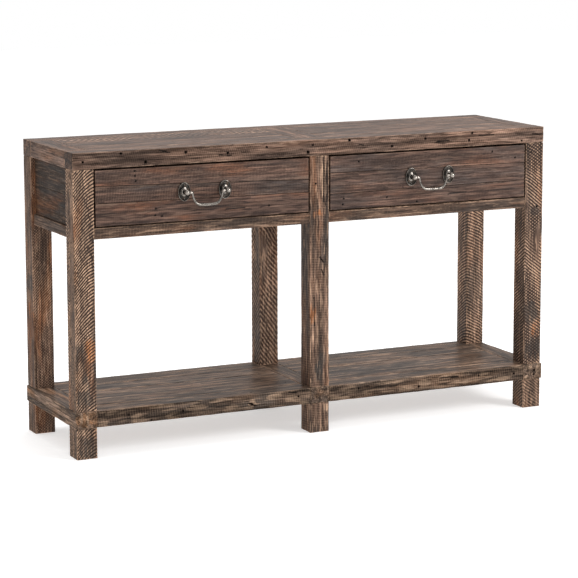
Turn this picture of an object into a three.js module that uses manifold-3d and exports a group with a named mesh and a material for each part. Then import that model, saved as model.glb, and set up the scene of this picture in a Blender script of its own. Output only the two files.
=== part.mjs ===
// Console table with two drawers, in thick reclaimed boards.
//
// Millimetres, +Z up, the drawers face -Y. The origin is on the floor, under the middle of the
// whole table's box, handles included. Every board is a solid of its own, joined to its neighbours by
// real tenons, tongues and housings, with a thin glue line between the pieces.

import * as THREE from 'three';
import { mergeVertices } from 'three/addons/utils/BufferGeometryUtils.js';
import Module from 'manifold-3d';

const wasm = await Module();
wasm.setup();

// ---------------------------------------------------------------------------------------------
// Driving dimensions
// ---------------------------------------------------------------------------------------------

// Overall
const WIDTH = 1425; // over the legs, left to right
const DEPTH = 381; // over the legs, front to back
const HEIGHT = 813; // floor to the top surface
const LEG = 58; // side of every square leg

// Top
const TOP_THICK = 45; // borders, end boards and centre board
const TOP_PANEL_THICK = 28; // infill between them
const TOP_BORDER = 60; // width of the front and back borders
const TOP_END = 60; // width of the boards at the two ends
const TOP_CENTRE = 82; // width of the board across the middle

// Shelf
const FOOT_HEIGHT = 83; // floor to the underside of the shelf
const SHELF_THICK = 45; // cross boards, front and back boards
const SHELF_PLANK_THICK = 28; // infill planks
const SHELF_PROUD = 3; // the shelf stands out past the legs all round
const SHELF_FRONT_BOARD = 66.5;
const SHELF_BACK_BOARD = 83.5;
const SHELF_FRONT_PLANK = 159; // width of the front infill plank
const SHELF_SEAM = 1.5; // open seam between the two infill planks

// Apron
const APRON_HEIGHT = 185; // underside of the top to the underside of the rails
const RAIL_TALL = 30;
const RAIL_THICK = 24;
const FRONT_RAIL_RECESS = 1.5; // front and back rails behind the legs' outer faces
const SIDE_RAIL_RECESS = 6;
const PANEL_THICK = 12; // side and back panels
const PANEL_RECESS = 12; // behind the legs' outer faces
const DIVIDER_THICK = 18;

// Joinery
const JOINT = 0.3; // glue line between two pieces
const LEG_TENON = 28; // square tenons at both ends of a leg
const LEG_TENON_UP = 25; // depth into the top's borders
const LEG_TENON_DOWN = 40; // depth into the feet, past the shelf
const TENON_WALL = 3; // timber left between two tenons in one board
const STUB_THICK = 15;
const STUB_SHOULDER = 13; // shoulder on each side of a stub tenon's width
const RAIL_TENON_LONG = 18;
const RAIL_TENON_THICK = 10;
const RAIL_TENON_SHOULDER = 4; // timber left under the tenon, and over it up to the panel's groove
const TONGUE = 8; // depth of every groove and length of every tongue
const TONGUE_THICK = 10;
const ROOT = 10; // how far a tenon's solid starts inside its own board

// Drawers
const DRAWER_GAP = 4; // around the front, at its sides and top
const DRAWER_GAP_BELOW = 3;
const DRAWER_FRONT_THICK = 20;
const DRAWER_WALL = 12; // sides and back
const DRAWER_WALL_DROP = 19; // top edge of the front to the top edge of the sides
const DRAWER_SIDE_INSET = 2; // sides stand in from the ends of the front
const DRAWER_BACK_CLEAR = 15; // closed drawer to the back rail
const DRAWER_BACK_INSET = 10; // sides run on past the back
const DRAWER_BOTTOM_THICK = 6;
const DRAWER_BOTTOM_RISE = 10; // lower edge of the sides to the bottom
const DRAWER_GROOVE = 5; // grooves for the bottom, housings for the back
const RUNNER_THICK = 20;
const RUNNER_SLIP = 0.5; // drawer side over its runner
const RUNNER_SHELF = 17; // how far a runner reaches under its drawer
const GUIDE_TALL = 25; // guide above the runner
const GUIDE_CLEAR = 1; // guide to drawer side

// Handles
const HANDLE_RISE = 4; // middle of the drawer front up to the bail's pivot
const POST_SPACING = 118;
const PLATE_WIDE = 36;
const PLATE_TALL = 51;
const PLATE_THICK = 2.2;
const PLATE_RIM = 1.6; // rim above the plate
const PLATE_RIM_WIDE = 3.5;
const COLLAR_RADIUS = 8; // foot of the stem, on the plate
const COLLAR_THICK = 1.5;
const COLLAR_NECK = 3.5; // where the collar has narrowed to the stem
const STEM_RADIUS = 4.2;
const BALL_RADIUS = 6.5;
const PIVOT_REACH = 21; // drawer face to the pivot
const STUD_RADIUS = 2.2;
const STUD_HOLE_RADIUS = 2.5;
const STUD_PAST = 8; // stud inside the drawer, for its nut
const PIN_RADIUS = 2;
const PIN_CLEAR = 0.35; // pin in its bore, all round
const PIN_INSIDE_BALL = 7.5; // length of pin held in the ball
const BAIL_ROD_RADIUS = 3;
const BAIL_SHOULDER = 2.5; // rod to the ball
const BAIL_DROP = 35; // pivot to the middle of the grip
const BAIL_ARM_INSET = 16; // arms stand in from the posts
const BAIL_BEND = 5.5; // pivot to where an arm points straight down
const BAIL_SQUARENESS = 0.85; // exponent of the bow: 1 is an ellipse, less is squarer
const BAIL_BOW_STEPS = 12;

// ---------------------------------------------------------------------------------------------
// Levels and lines worked out from them
// ---------------------------------------------------------------------------------------------

const HALF_WIDTH = WIDTH / 2;
const HALF_DEPTH = DEPTH / 2;
const HALF_LEG = LEG / 2;
const SHELF_TOP = FOOT_HEIGHT + SHELF_THICK;
const TOP_UNDER = HEIGHT - TOP_THICK;
const RAIL_UNDER = TOP_UNDER - APRON_HEIGHT;
const RAIL_TOP = RAIL_UNDER + RAIL_TALL;

const COLUMNS = { left: -(HALF_WIDTH - HALF_LEG), centre: 0, right: HALF_WIDTH - HALF_LEG };
const ROWS = { front: -(HALF_DEPTH - HALF_LEG), back: HALF_DEPTH - HALF_LEG };
const LEG_INNER_Y = HALF_DEPTH - LEG; // legs' faces towards the middle of the depth

const RAIL_TENON_LOW = RAIL_UNDER + RAIL_TENON_SHOULDER;
const RAIL_TENON_HIGH = RAIL_TOP - TONGUE - RAIL_TENON_SHOULDER;

// Stub tenons stop short of the leg tenon that comes through the same board.
const SHELF_STUB = HALF_LEG - LEG_TENON / 2 - TENON_WALL;
const TOP_STUB = TOP_BORDER - HALF_LEG - LEG_TENON / 2 - TENON_WALL;

// Each bay lies between two leg columns. `out` points from the centre leg to the end leg.
const BAYS = [
  { name: 'left', x0: COLUMNS.left + HALF_LEG, x1: -HALF_LEG, out: -1 },
  { name: 'right', x0: HALF_LEG, x1: COLUMNS.right - HALF_LEG, out: 1 },
];

// The handles stand out further than the shelf does behind, so the legs sit behind the origin.
const LEGS_BACK_SHIFT = (JOINT + PIVOT_REACH + BALL_RADIUS - SHELF_PROUD) / 2;

// ---------------------------------------------------------------------------------------------
// Finishes
// ---------------------------------------------------------------------------------------------

const wood = (name, colour, roughness) =>
  new THREE.MeshStandardMaterial({ name, color: colour, roughness, metalness: 0 });

const FINISH = {
  top: wood('top_boards', 0x7c6d63, 0.55),
  frame: wood('frame_timber', 0x5d4b42, 0.7),
  drawer: wood('drawer_fronts', 0x6e5347, 0.65),
  shelf: wood('shelf_boards', 0x544741, 0.7),
  inner: wood('inner_softwood', 0x9a7d5c, 0.8),
  iron: new THREE.MeshStandardMaterial({ name: 'iron', color: 0x4a4642, roughness: 0.35, metalness: 0.9 }),
};

// ---------------------------------------------------------------------------------------------
// Solids
// ---------------------------------------------------------------------------------------------

/** A block between two planes on each axis. */
const block = (x0, x1, y0, y1, z0, z1) => ({ low: [x0, y0, z0], high: [x1, y1, z1] });

/** The same block, larger on every side. */
const grow = ({ low, high }, by) => ({
  low: low.map((value) => value - by),
  high: high.map((value) => value + by),
});

const middleOf = ({ low, high }) => low.map((value, axis) => (value + high[axis]) / 2);

/** Turns a closed three.js geometry into a solid that can be cut and joined. */
function toSolid(geometry) {
  geometry.deleteAttribute('normal');
  geometry.deleteAttribute('uv');
  const merged = mergeVertices(geometry, 1e-4);
  return new wasm.Manifold(
    new wasm.Mesh({
      numProp: 3,
      vertProperties: new Float32Array(merged.attributes.position.array),
      triVerts: new Uint32Array(merged.index.array),
    }),
  );
}

/** A block as a solid, measured from the given centre. */
function blockSolid(shape, centre) {
  const size = shape.low.map((value, axis) => shape.high[axis] - value);
  const place = middleOf(shape).map((value, axis) => value - centre[axis]);
  return toSolid(new THREE.BoxGeometry(...size).translate(...place));
}

/** Turns a finished solid into a named mesh standing at its centre. */
function toMesh(name, finish, solid, centre) {
  const { vertProperties, triVerts } = solid.getMesh();
  const geometry = new THREE.BufferGeometry();
  geometry.setAttribute('position', new THREE.BufferAttribute(vertProperties, 3));
  geometry.setIndex(new THREE.BufferAttribute(triVerts, 1));
  geometry.computeVertexNormals();
  const mesh = new THREE.Mesh(geometry, finish);
  mesh.name = name;
  mesh.position.set(...centre);
  return mesh;
}

/**
 * A board: a block with tenons or tongues added, and its neighbours' tenons cut out of it.
 * A cut is given as the neighbour's own block, and leaves a glue line round it.
 */
function board(name, finish, body, { tenons = [], mortises = [], holes = [] } = {}) {
  const centre = middleOf(body);
  let solid = blockSolid(body, centre);
  for (const tenon of tenons) {
    solid = solid.add(blockSolid(tenon, centre));
  }
  for (const mortise of mortises) {
    solid = solid.subtract(blockSolid(grow(mortise, JOINT), centre));
  }
  for (const hole of holes) {
    const place = hole.at.map((value, axis) => value - centre[axis]);
    const bit = new THREE.CylinderGeometry(hole.radius, hole.radius, hole.length, 20);
    solid = solid.subtract(toSolid(bit.translate(...place)));
  }
  return toMesh(name, finish, solid, centre);
}

// ---------------------------------------------------------------------------------------------
// Joints, each as the block of its tenon
// ---------------------------------------------------------------------------------------------

/** Tenon of a rail that runs along X, at the end `x`, pointing along `way`. */
function railTenonX(x, way, yMiddle) {
  const [x0, x1] = [x - way * ROOT, x + way * RAIL_TENON_LONG].sort((a, b) => a - b);
  const half = RAIL_TENON_THICK / 2;
  return block(x0, x1, yMiddle - half, yMiddle + half, RAIL_TENON_LOW, RAIL_TENON_HIGH);
}

/** Tenon of a side rail, which runs along Y, at the end `y`, pointing along `way`. */
function railTenonY(y, way, xMiddle) {
  const [y0, y1] = [y - way * ROOT, y + way * RAIL_TENON_LONG].sort((a, b) => a - b);
  const half = RAIL_TENON_THICK / 2;
  return block(xMiddle - half, xMiddle + half, y0, y1, RAIL_TENON_LOW, RAIL_TENON_HIGH);
}

/** Leg tenons: up into the top, and down through the shelf into the foot. */
function legTenons(x, y) {
  const half = LEG_TENON / 2;
  const up = block(x - half, x + half, y - half, y + half, TOP_UNDER - ROOT, TOP_UNDER + LEG_TENON_UP);
  const down = block(
    x - half, x + half, y - half, y + half, FOOT_HEIGHT - LEG_TENON_DOWN, SHELF_TOP + ROOT,
  );
  return { up, down };
}

/** Lower and upper plane of a stub tenon or a tongue in the middle of a board. */
const centred = (low, high, thick) => [(low + high - thick) / 2, (low + high + thick) / 2];

/** Stub tenon of a thick shelf board that runs along X. */
function stubX(x, way, y0, y1, z0, z1) {
  const [low, high] = [x - way * ROOT, x + way * SHELF_STUB].sort((a, b) => a - b);
  return block(low, high, y0 + STUB_SHOULDER, y1 - STUB_SHOULDER, ...centred(z0, z1, STUB_THICK));
}

/** Stub tenon of a thick top board that runs along Y. */
function stubY(y, way, x0, x1, z0, z1) {
  const [low, high] = [y - way * ROOT, y + way * TOP_STUB].sort((a, b) => a - b);
  return block(x0 + STUB_SHOULDER, x1 - STUB_SHOULDER, low, high, ...centred(z0, z1, STUB_THICK));
}

// Panels in the apron: the whole panel is let into the legs and the rail, so its block is its own tenon.
const PANEL_FOOT = RAIL_TOP - TONGUE;
const panelLevels = [PANEL_FOOT, TOP_UNDER - JOINT];

/** Side panel, between the front and back legs of one end. */
function sidePanel(side) {
  const outer = HALF_WIDTH - PANEL_RECESS;
  const [x0, x1] = side < 0 ? [-outer, -outer + PANEL_THICK] : [outer - PANEL_THICK, outer];
  const reach = LEG_INNER_Y + TONGUE;
  return block(x0, x1, -reach, reach, ...panelLevels);
}

/** Back panel of one bay, between two back legs. */
function backPanel(bay) {
  const outer = HALF_DEPTH - PANEL_RECESS;
  return block(bay.x0 - TONGUE, bay.x1 + TONGUE, outer - PANEL_THICK, outer, ...panelLevels);
}

const FRONT_RAIL_Y = -(HALF_DEPTH - FRONT_RAIL_RECESS - RAIL_THICK / 2);
const SIDE_RAIL_X = HALF_WIDTH - SIDE_RAIL_RECESS - RAIL_THICK / 2;

// ---------------------------------------------------------------------------------------------
// Frame
// ---------------------------------------------------------------------------------------------

const DRAWER_LOW = RAIL_TOP + DRAWER_GAP_BELOW;
const DRAWER_HIGH = TOP_UNDER - DRAWER_GAP;
const RUNNER_TOP = DRAWER_LOW - RUNNER_SLIP;
const GUIDE_TOP = RUNNER_TOP + GUIDE_TALL;
const HANDLE_HEIGHT = (DRAWER_LOW + DRAWER_HIGH) / 2 + HANDLE_RISE;

/** Divider between the bays, let into the two centre legs. */
const dividerBlock = block(
  -DIVIDER_THICK / 2, DIVIDER_THICK / 2, -(LEG_INNER_Y + TONGUE), LEG_INNER_Y + TONGUE,
  GUIDE_TOP + JOINT, TOP_UNDER - JOINT,
);

/** What is let into the leg of one column and row. */
function legMortises(column, row) {
  const toMiddle = row === 'front' ? 1 : -1;
  const railY = -toMiddle * Math.abs(FRONT_RAIL_Y);
  const cuts = [];
  for (const bay of BAYS) {
    if (Math.abs(bay.x0 - COLUMNS[column]) <= HALF_LEG) {
      cuts.push(railTenonX(bay.x0, -1, railY));
    }
    if (Math.abs(bay.x1 - COLUMNS[column]) <= HALF_LEG) {
      cuts.push(railTenonX(bay.x1, 1, railY));
    }
    if (row === 'back') {
      cuts.push(backPanel(bay));
    }
  }
  if (column === 'centre') {
    cuts.push(dividerBlock);
  } else {
    const side = Math.sign(COLUMNS[column]);
    cuts.push(railTenonY(-toMiddle * LEG_INNER_Y, -toMiddle, side * SIDE_RAIL_X));
    cuts.push(sidePanel(side));
  }
  return cuts;
}

/** The six upper legs and the six feet under the shelf. */
function legsAndFeet() {
  const group = new THREE.Group();
  for (const [row, y] of Object.entries(ROWS)) {
    for (const [column, x] of Object.entries(COLUMNS)) {
      const { up, down } = legTenons(x, y);
      const square = [x - HALF_LEG, x + HALF_LEG, y - HALF_LEG, y + HALF_LEG];
      const shaft = block(...square, SHELF_TOP + JOINT, TOP_UNDER - JOINT);
      group.add(
        board(`leg_${row}_${column}`, FINISH.frame, shaft, {
          tenons: [up, down],
          mortises: legMortises(column, row),
        }),
        board(`foot_${row}_${column}`, FINISH.frame, block(...square, 0, FOOT_HEIGHT - JOINT), {
          mortises: [down],
        }),
      );
    }
  }
  return group;
}

/** Rails and panels of the apron. */
function apron() {
  const group = new THREE.Group();
  const half = RAIL_THICK / 2;
  for (const bay of BAYS) {
    for (const [row, y] of [['front', FRONT_RAIL_Y], ['back', -FRONT_RAIL_Y]]) {
      const rail = block(bay.x0 + JOINT, bay.x1 - JOINT, y - half, y + half, RAIL_UNDER, RAIL_TOP);
      group.add(
        board(`${row}_rail_${bay.name}`, FINISH.frame, rail, {
          tenons: [railTenonX(bay.x0, -1, y), railTenonX(bay.x1, 1, y)],
          mortises: row === 'back' ? [backPanel(bay)] : [],
        }),
      );
    }
    group.add(board(`back_panel_${bay.name}`, FINISH.frame, backPanel(bay)));

    const x = bay.out * SIDE_RAIL_X;
    const ends = LEG_INNER_Y - JOINT;
    const sideRail = block(x - half, x + half, -ends, ends, RAIL_UNDER, RAIL_TOP);
    group.add(
      board(`side_rail_${bay.name}`, FINISH.frame, sideRail, {
        tenons: [railTenonY(-LEG_INNER_Y, -1, x), railTenonY(LEG_INNER_Y, 1, x)],
        mortises: [sidePanel(bay.out)],
      }),
      board(`side_panel_${bay.name}`, FINISH.frame, sidePanel(bay.out)),
    );
  }
  return group;
}

// ---------------------------------------------------------------------------------------------
// Shelf
// ---------------------------------------------------------------------------------------------

const SHELF_EDGE_Y = HALF_DEPTH + SHELF_PROUD;
const SHELF_LEVELS = [FOOT_HEIGHT, SHELF_TOP];
const PLANK_LEVELS = [SHELF_TOP - SHELF_PLANK_THICK, SHELF_TOP];
const SHELF_LINES = {
  frontInner: -SHELF_EDGE_Y + SHELF_FRONT_BOARD,
  backInner: SHELF_EDGE_Y - SHELF_BACK_BOARD,
  seam: -SHELF_EDGE_Y + SHELF_FRONT_BOARD + SHELF_FRONT_PLANK,
};

/** Tongue of one infill plank: a thin block that reaches past three of its edges. */
function shelfPlankParts(bay, row) {
  const { frontInner, backInner, seam } = SHELF_LINES;
  const [y0, y1] = row === 'front' ? [frontInner + JOINT, seam] : [seam + SHELF_SEAM, backInner - JOINT];
  const body = block(bay.x0 + JOINT, bay.x1 - JOINT, y0, y1, ...PLANK_LEVELS);
  const [t0, t1] = row === 'front' ? [frontInner - TONGUE, y1] : [y0, backInner + TONGUE];
  const tongue = block(
    bay.x0 - TONGUE, bay.x1 + TONGUE, t0, t1, ...centred(...PLANK_LEVELS, TONGUE_THICK),
  );
  return { body, tongue };
}

/** Front or back board of one bay, with the stub tenons at its two ends. */
function shelfEdgeBoard(bay, row) {
  const { frontInner, backInner } = SHELF_LINES;
  const [y0, y1] = row === 'front' ? [-SHELF_EDGE_Y, frontInner] : [backInner, SHELF_EDGE_Y];
  return {
    body: block(bay.x0 + JOINT, bay.x1 - JOINT, y0, y1, ...SHELF_LEVELS),
    stubs: [stubX(bay.x0, -1, y0, y1, ...SHELF_LEVELS), stubX(bay.x1, 1, y0, y1, ...SHELF_LEVELS)],
  };
}

/** Cross boards at the legs, edge boards between them, and the infill planks. */
function shelf() {
  const group = new THREE.Group();
  const crossCuts = [];
  for (const bay of BAYS) {
    const planks = ['front', 'rear'].map((row) => ({ row, ...shelfPlankParts(bay, row) }));
    const edges = ['front', 'back'].map((row) => ({ row, ...shelfEdgeBoard(bay, row) }));
    const tongues = planks.map((plank) => plank.tongue);
    for (const { row, body, tongue } of planks) {
      group.add(board(`shelf_plank_${row}_${bay.name}`, FINISH.shelf, body, { tenons: [tongue] }));
    }
    for (const { row, body, stubs } of edges) {
      group.add(
        board(`shelf_${row}_board_${bay.name}`, FINISH.shelf, body, { tenons: stubs, mortises: tongues }),
      );
      crossCuts.push(...stubs);
    }
    crossCuts.push(...tongues);
  }
  for (const [column, x] of Object.entries(COLUMNS)) {
    const side = Math.sign(x);
    const x0 = x - HALF_LEG - (side < 0 ? SHELF_PROUD : 0);
    const x1 = x + HALF_LEG + (side > 0 ? SHELF_PROUD : 0);
    const legCuts = Object.values(ROWS).map((y) => legTenons(x, y).down);
    const body = block(x0, x1, -SHELF_EDGE_Y, SHELF_EDGE_Y, ...SHELF_LEVELS);
    group.add(
      board(`shelf_cross_${column}`, FINISH.shelf, body, { mortises: [...crossCuts, ...legCuts] }),
    );
  }
  return group;
}

// ---------------------------------------------------------------------------------------------
// Top
// ---------------------------------------------------------------------------------------------

const TOP_LEVELS = [TOP_UNDER, HEIGHT];
const TOP_PANEL_LEVELS = [HEIGHT - TOP_PANEL_THICK, HEIGHT];
const BORDER_INNER_Y = HALF_DEPTH - TOP_BORDER;

/** Boards that run from border to border: one at each end and one in the middle. */
const TOP_CROSS_BOARDS = [
  { name: 'top_end_left', x0: -HALF_WIDTH, x1: -HALF_WIDTH + TOP_END },
  { name: 'top_centre_board', x0: -TOP_CENTRE / 2, x1: TOP_CENTRE / 2 },
  { name: 'top_end_right', x0: HALF_WIDTH - TOP_END, x1: HALF_WIDTH },
];

/** Infill panels, one in each gap between those boards, tongued all round. */
function topPanels() {
  const [left, centre, right] = TOP_CROSS_BOARDS;
  const y = BORDER_INNER_Y;
  const tongueLevels = centred(...TOP_PANEL_LEVELS, TONGUE_THICK);
  return [['left', left, centre], ['right', centre, right]].map(([name, before, after]) => ({
    name: `top_panel_${name}`,
    body: block(before.x1 + JOINT, after.x0 - JOINT, -y + JOINT, y - JOINT, ...TOP_PANEL_LEVELS),
    tongue: block(before.x1 - TONGUE, after.x0 + TONGUE, -y - TONGUE, y + TONGUE, ...tongueLevels),
  }));
}

/** The whole top. */
function top() {
  const group = new THREE.Group();
  const y = BORDER_INNER_Y;
  const panels = topPanels();
  const tongues = panels.map((panel) => panel.tongue);
  for (const { name, body, tongue } of panels) {
    group.add(board(name, FINISH.top, body, { tenons: [tongue] }));
  }
  const stubs = [];
  for (const { name, x0, x1 } of TOP_CROSS_BOARDS) {
    const own = [stubY(-y, -1, x0, x1, ...TOP_LEVELS), stubY(y, 1, x0, x1, ...TOP_LEVELS)];
    const body = block(x0, x1, -y + JOINT, y - JOINT, ...TOP_LEVELS);
    group.add(board(name, FINISH.top, body, { tenons: own, mortises: tongues }));
    stubs.push(...own);
  }
  for (const [row, legY] of Object.entries(ROWS)) {
    const [y0, y1] = row === 'front' ? [-HALF_DEPTH, -y] : [y, HALF_DEPTH];
    const legCuts = Object.values(COLUMNS).map((x) => legTenons(x, legY).up);
    const body = block(-HALF_WIDTH, HALF_WIDTH, y0, y1, ...TOP_LEVELS);
    group.add(
      board(`top_${row}_border`, FINISH.top, body, { mortises: [...stubs, ...tongues, ...legCuts] }),
    );
  }
  return group;
}

// ---------------------------------------------------------------------------------------------
// Drawer works
// ---------------------------------------------------------------------------------------------

/** Where one drawer's boards stand across the bay. */
function drawerLines(bay) {
  const x0 = bay.x0 + DRAWER_GAP;
  const x1 = bay.x1 - DRAWER_GAP;
  return { x0, x1, sideX0: x0 + DRAWER_SIDE_INSET, sideX1: x1 - DRAWER_SIDE_INSET };
}

/** Runners: a bed that carries the drawer sides, with a guide standing on it between the legs. */
function runners() {
  const group = new THREE.Group();
  const ends = LEG_INNER_Y - JOINT;
  const bed = (x0, x1) => block(x0, x1, -ends, ends, RUNNER_TOP - RUNNER_THICK, RUNNER_TOP);
  const guide = (x0, x1) => block(x0, x1, -ends, ends, RUNNER_TOP - ROOT, GUIDE_TOP);
  const railInner = SIDE_RAIL_X - RAIL_THICK / 2 - JOINT;
  for (const bay of BAYS) {
    const { sideX0, sideX1 } = drawerLines(bay);
    const outerSide = Math.abs(bay.out < 0 ? sideX0 : sideX1);
    const order = (a, b) => [bay.out * a, bay.out * b].sort((p, q) => p - q);
    group.add(
      board(`runner_${bay.name}`, FINISH.inner, bed(...order(outerSide - RUNNER_SHELF, railInner)), {
        tenons: [guide(...order(outerSide + GUIDE_CLEAR, railInner))],
      }),
    );
  }
  const innerSide = drawerLines(BAYS[1]).sideX0;
  const guideHalf = innerSide - GUIDE_CLEAR;
  const bedHalf = innerSide + RUNNER_SHELF;
  group.add(
    board('runner_centre', FINISH.inner, bed(-bedHalf, bedHalf), { tenons: [guide(-guideHalf, guideHalf)] }),
    board('drawer_divider', FINISH.inner, dividerBlock),
  );
  return group;
}

/** The five boards of one drawer. */
function drawer(bay) {
  const group = new THREE.Group();
  const { x0, x1, sideX0, sideX1 } = drawerLines(bay);
  const face = -HALF_DEPTH;
  const frontInner = face + DRAWER_FRONT_THICK;
  const sideEnd = HALF_DEPTH - FRONT_RAIL_RECESS - RAIL_THICK - DRAWER_BACK_CLEAR;
  const wallTop = DRAWER_HIGH - DRAWER_WALL_DROP;
  const bottomLow = DRAWER_LOW + DRAWER_BOTTOM_RISE;
  const bottomTop = bottomLow + DRAWER_BOTTOM_THICK;
  const innerX0 = sideX0 + DRAWER_WALL;
  const innerX1 = sideX1 - DRAWER_WALL;
  const backY1 = sideEnd - DRAWER_BACK_INSET;
  const backY0 = backY1 - DRAWER_WALL;

  const wall = (a, b) => block(a, b, frontInner - TONGUE, sideEnd, DRAWER_LOW, wallTop);
  const walls = [wall(sideX0, innerX0), wall(innerX1, sideX1)];
  const bottom = block(
    innerX0 - DRAWER_GROOVE, innerX1 + DRAWER_GROOVE, frontInner - DRAWER_GROOVE, backY1, bottomLow, bottomTop,
  );
  const back = block(
    innerX0 - DRAWER_GROOVE, innerX1 + DRAWER_GROOVE, backY0, backY1, bottomTop + JOINT, wallTop,
  );
  const front = block(x0, x1, face, frontInner, DRAWER_LOW, DRAWER_HIGH);
  const studHoles = postPlaces(bay).map(({ x }) => ({
    at: [x, face + DRAWER_FRONT_THICK / 2, HANDLE_HEIGHT],
    radius: STUD_HOLE_RADIUS,
    length: DRAWER_FRONT_THICK * 2,
  }));
  const sideNames = bay.out < 0 ? ['outer', 'inner'] : ['inner', 'outer'];
  const name = `drawer_${bay.name}`;
  group.add(
    board(`${name}_front`, FINISH.drawer, front, { mortises: [...walls, bottom], holes: studHoles }),
    board(`${name}_back`, FINISH.inner, back),
    board(`${name}_bottom`, FINISH.inner, bottom),
    ...walls.map((body, i) =>
      board(`${name}_${sideNames[i]}_side`, FINISH.inner, body, { mortises: [bottom, back] }),
    ),
  );
  return group;
}

// ---------------------------------------------------------------------------------------------
// Handles
// ---------------------------------------------------------------------------------------------

/** Places of the two posts of one drawer. */
function postPlaces(bay) {
  const middle = (bay.x0 + bay.x1) / 2;
  return [
    { side: 'outer', x: middle + bay.out * POST_SPACING / 2, way: bay.out },
    { side: 'inner', x: middle - bay.out * POST_SPACING / 2, way: -bay.out },
  ];
}

/** A turned shape round the Y axis, from [radius, distance in front of the drawer face] points. */
function turned(profile, sides) {
  const points = profile.map(([radius, out]) => new THREE.Vector2(radius, out));
  return new THREE.LatheGeometry(points, sides).rotateX(Math.PI);
}

/**
 * One post: an oval plate with a raised rim, a stem with a ball at the pivot, and the stud that
 * goes through the drawer front. `way` points from the bail to the post.
 */
function handlePost(name, x, way) {
  const rim = PLATE_TALL / 2;
  const dish = rim - PLATE_RIM_WIDE;
  const plate = turned([
    [0, 0], [rim, 0], [rim, PLATE_THICK], [(rim + dish) / 2, PLATE_THICK + PLATE_RIM],
    [dish, PLATE_THICK], [0, PLATE_THICK],
  ], 32).scale(PLATE_WIDE / PLATE_TALL, 1, 1);
  const collarFace = PLATE_THICK + COLLAR_THICK;
  const stem = turned([
    [0, PLATE_THICK / 2], [COLLAR_RADIUS, PLATE_THICK / 2], [COLLAR_RADIUS, collarFace],
    [STEM_RADIUS, collarFace + COLLAR_NECK], [STEM_RADIUS, PIVOT_REACH], [0, PIVOT_REACH],
  ], 20);
  const ball = new THREE.SphereGeometry(BALL_RADIUS, 20, 14).translate(0, -PIVOT_REACH, 0);
  const studLength = DRAWER_FRONT_THICK + STUD_PAST + PLATE_THICK / 2;
  const stud = new THREE.CylinderGeometry(STUD_RADIUS, STUD_RADIUS, studLength, 14)
    .translate(0, (studLength - PLATE_THICK) / 2, 0);

  const boreEnd = BALL_RADIUS - PIN_INSIDE_BALL - 0.5;
  const boreLength = BALL_RADIUS + 4 - boreEnd;
  const bore = new THREE.CylinderGeometry(PIN_RADIUS + PIN_CLEAR, PIN_RADIUS + PIN_CLEAR, boreLength, 16)
    .rotateZ(Math.PI / 2)
    .translate(-way * (boreEnd + boreLength / 2), -PIVOT_REACH, 0);

  const solid = toSolid(plate)
    .add(toSolid(stem))
    .add(toSolid(ball))
    .add(toSolid(stud))
    .subtract(toSolid(bore));
  return toMesh(name, FINISH.iron, solid, [x, -HALF_DEPTH - JOINT, HANDLE_HEIGHT]);
}

/** One bail: a bent rod with a thinner pin at each end, hanging straight down. */
function handleBail(name, x) {
  const ballInner = POST_SPACING / 2 - BALL_RADIUS;
  const rodEnd = ballInner - BAIL_SHOULDER;
  const arm = POST_SPACING / 2 - BAIL_ARM_INSET;
  const squared = (value) => Math.sign(value) * Math.abs(value) ** BAIL_SQUARENESS;
  const points = [new THREE.Vector3(rodEnd, 0, 0)];
  for (let step = 0; step <= BAIL_BOW_STEPS; step += 1) {
    const turn = (step / BAIL_BOW_STEPS) * Math.PI;
    const drop = BAIL_BEND + (BAIL_DROP - BAIL_BEND) * squared(Math.sin(turn));
    points.push(new THREE.Vector3(arm * squared(Math.cos(turn)), 0, -drop));
  }
  points.push(new THREE.Vector3(-rodEnd, 0, 0));
  const path = new THREE.CatmullRomCurve3(points, false, 'centripetal');
  const section = new THREE.Shape().absarc(0, 0, BAIL_ROD_RADIUS, 0, Math.PI * 2);
  const rod = new THREE.ExtrudeGeometry(section, { steps: 44, curveSegments: 10, extrudePath: path });

  let solid = toSolid(rod);
  const pinEnd = ballInner + PIN_INSIDE_BALL;
  const pinLength = pinEnd - rodEnd + 3;
  for (const way of [-1, 1]) {
    const pin = new THREE.CylinderGeometry(PIN_RADIUS, PIN_RADIUS, pinLength, 16)
      .rotateZ(Math.PI / 2)
      .translate(way * (pinEnd - pinLength / 2), 0, 0);
    solid = solid.add(toSolid(pin));
  }
  return toMesh(name, FINISH.iron, solid, [x, -HALF_DEPTH - JOINT - PIVOT_REACH, HANDLE_HEIGHT]);
}

/** Both posts and the bail of one drawer. */
function handle(bay) {
  const group = new THREE.Group();
  for (const { side, x, way } of postPlaces(bay)) {
    group.add(handlePost(`handle_${bay.name}_post_${side}`, x, way));
  }
  group.add(handleBail(`handle_${bay.name}_bail`, (bay.x0 + bay.x1) / 2));
  return group;
}

// ---------------------------------------------------------------------------------------------
// The table
// ---------------------------------------------------------------------------------------------

const table = new THREE.Group();
table.add(legsAndFeet(), apron(), shelf(), top(), runners());
for (const bay of BAYS) {
  table.add(drawer(bay), handle(bay));
}
table.position.y = LEGS_BACK_SHIFT;
table.updateMatrixWorld(true);

export default table;
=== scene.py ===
"""Console table in reclaimed timber: the finished surfaces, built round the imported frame.

Every board of the frame is made again as a rough-sawn board with worn edges, saw marks, nail holes
and drying cracks, and every handle as a cast and turned fitting. Lengths are in metres, +Z is up and
the drawers face -Y. Places come from the frame's own boxes.
"""

from __future__ import annotations

import functools
import itertools
import logging
import math
from dataclasses import dataclass, field, replace
from enum import Enum
from typing import Any, Callable, Iterable, Sequence

import bmesh
import bpy
import numpy as np
from mathutils import Matrix, Vector

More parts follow.
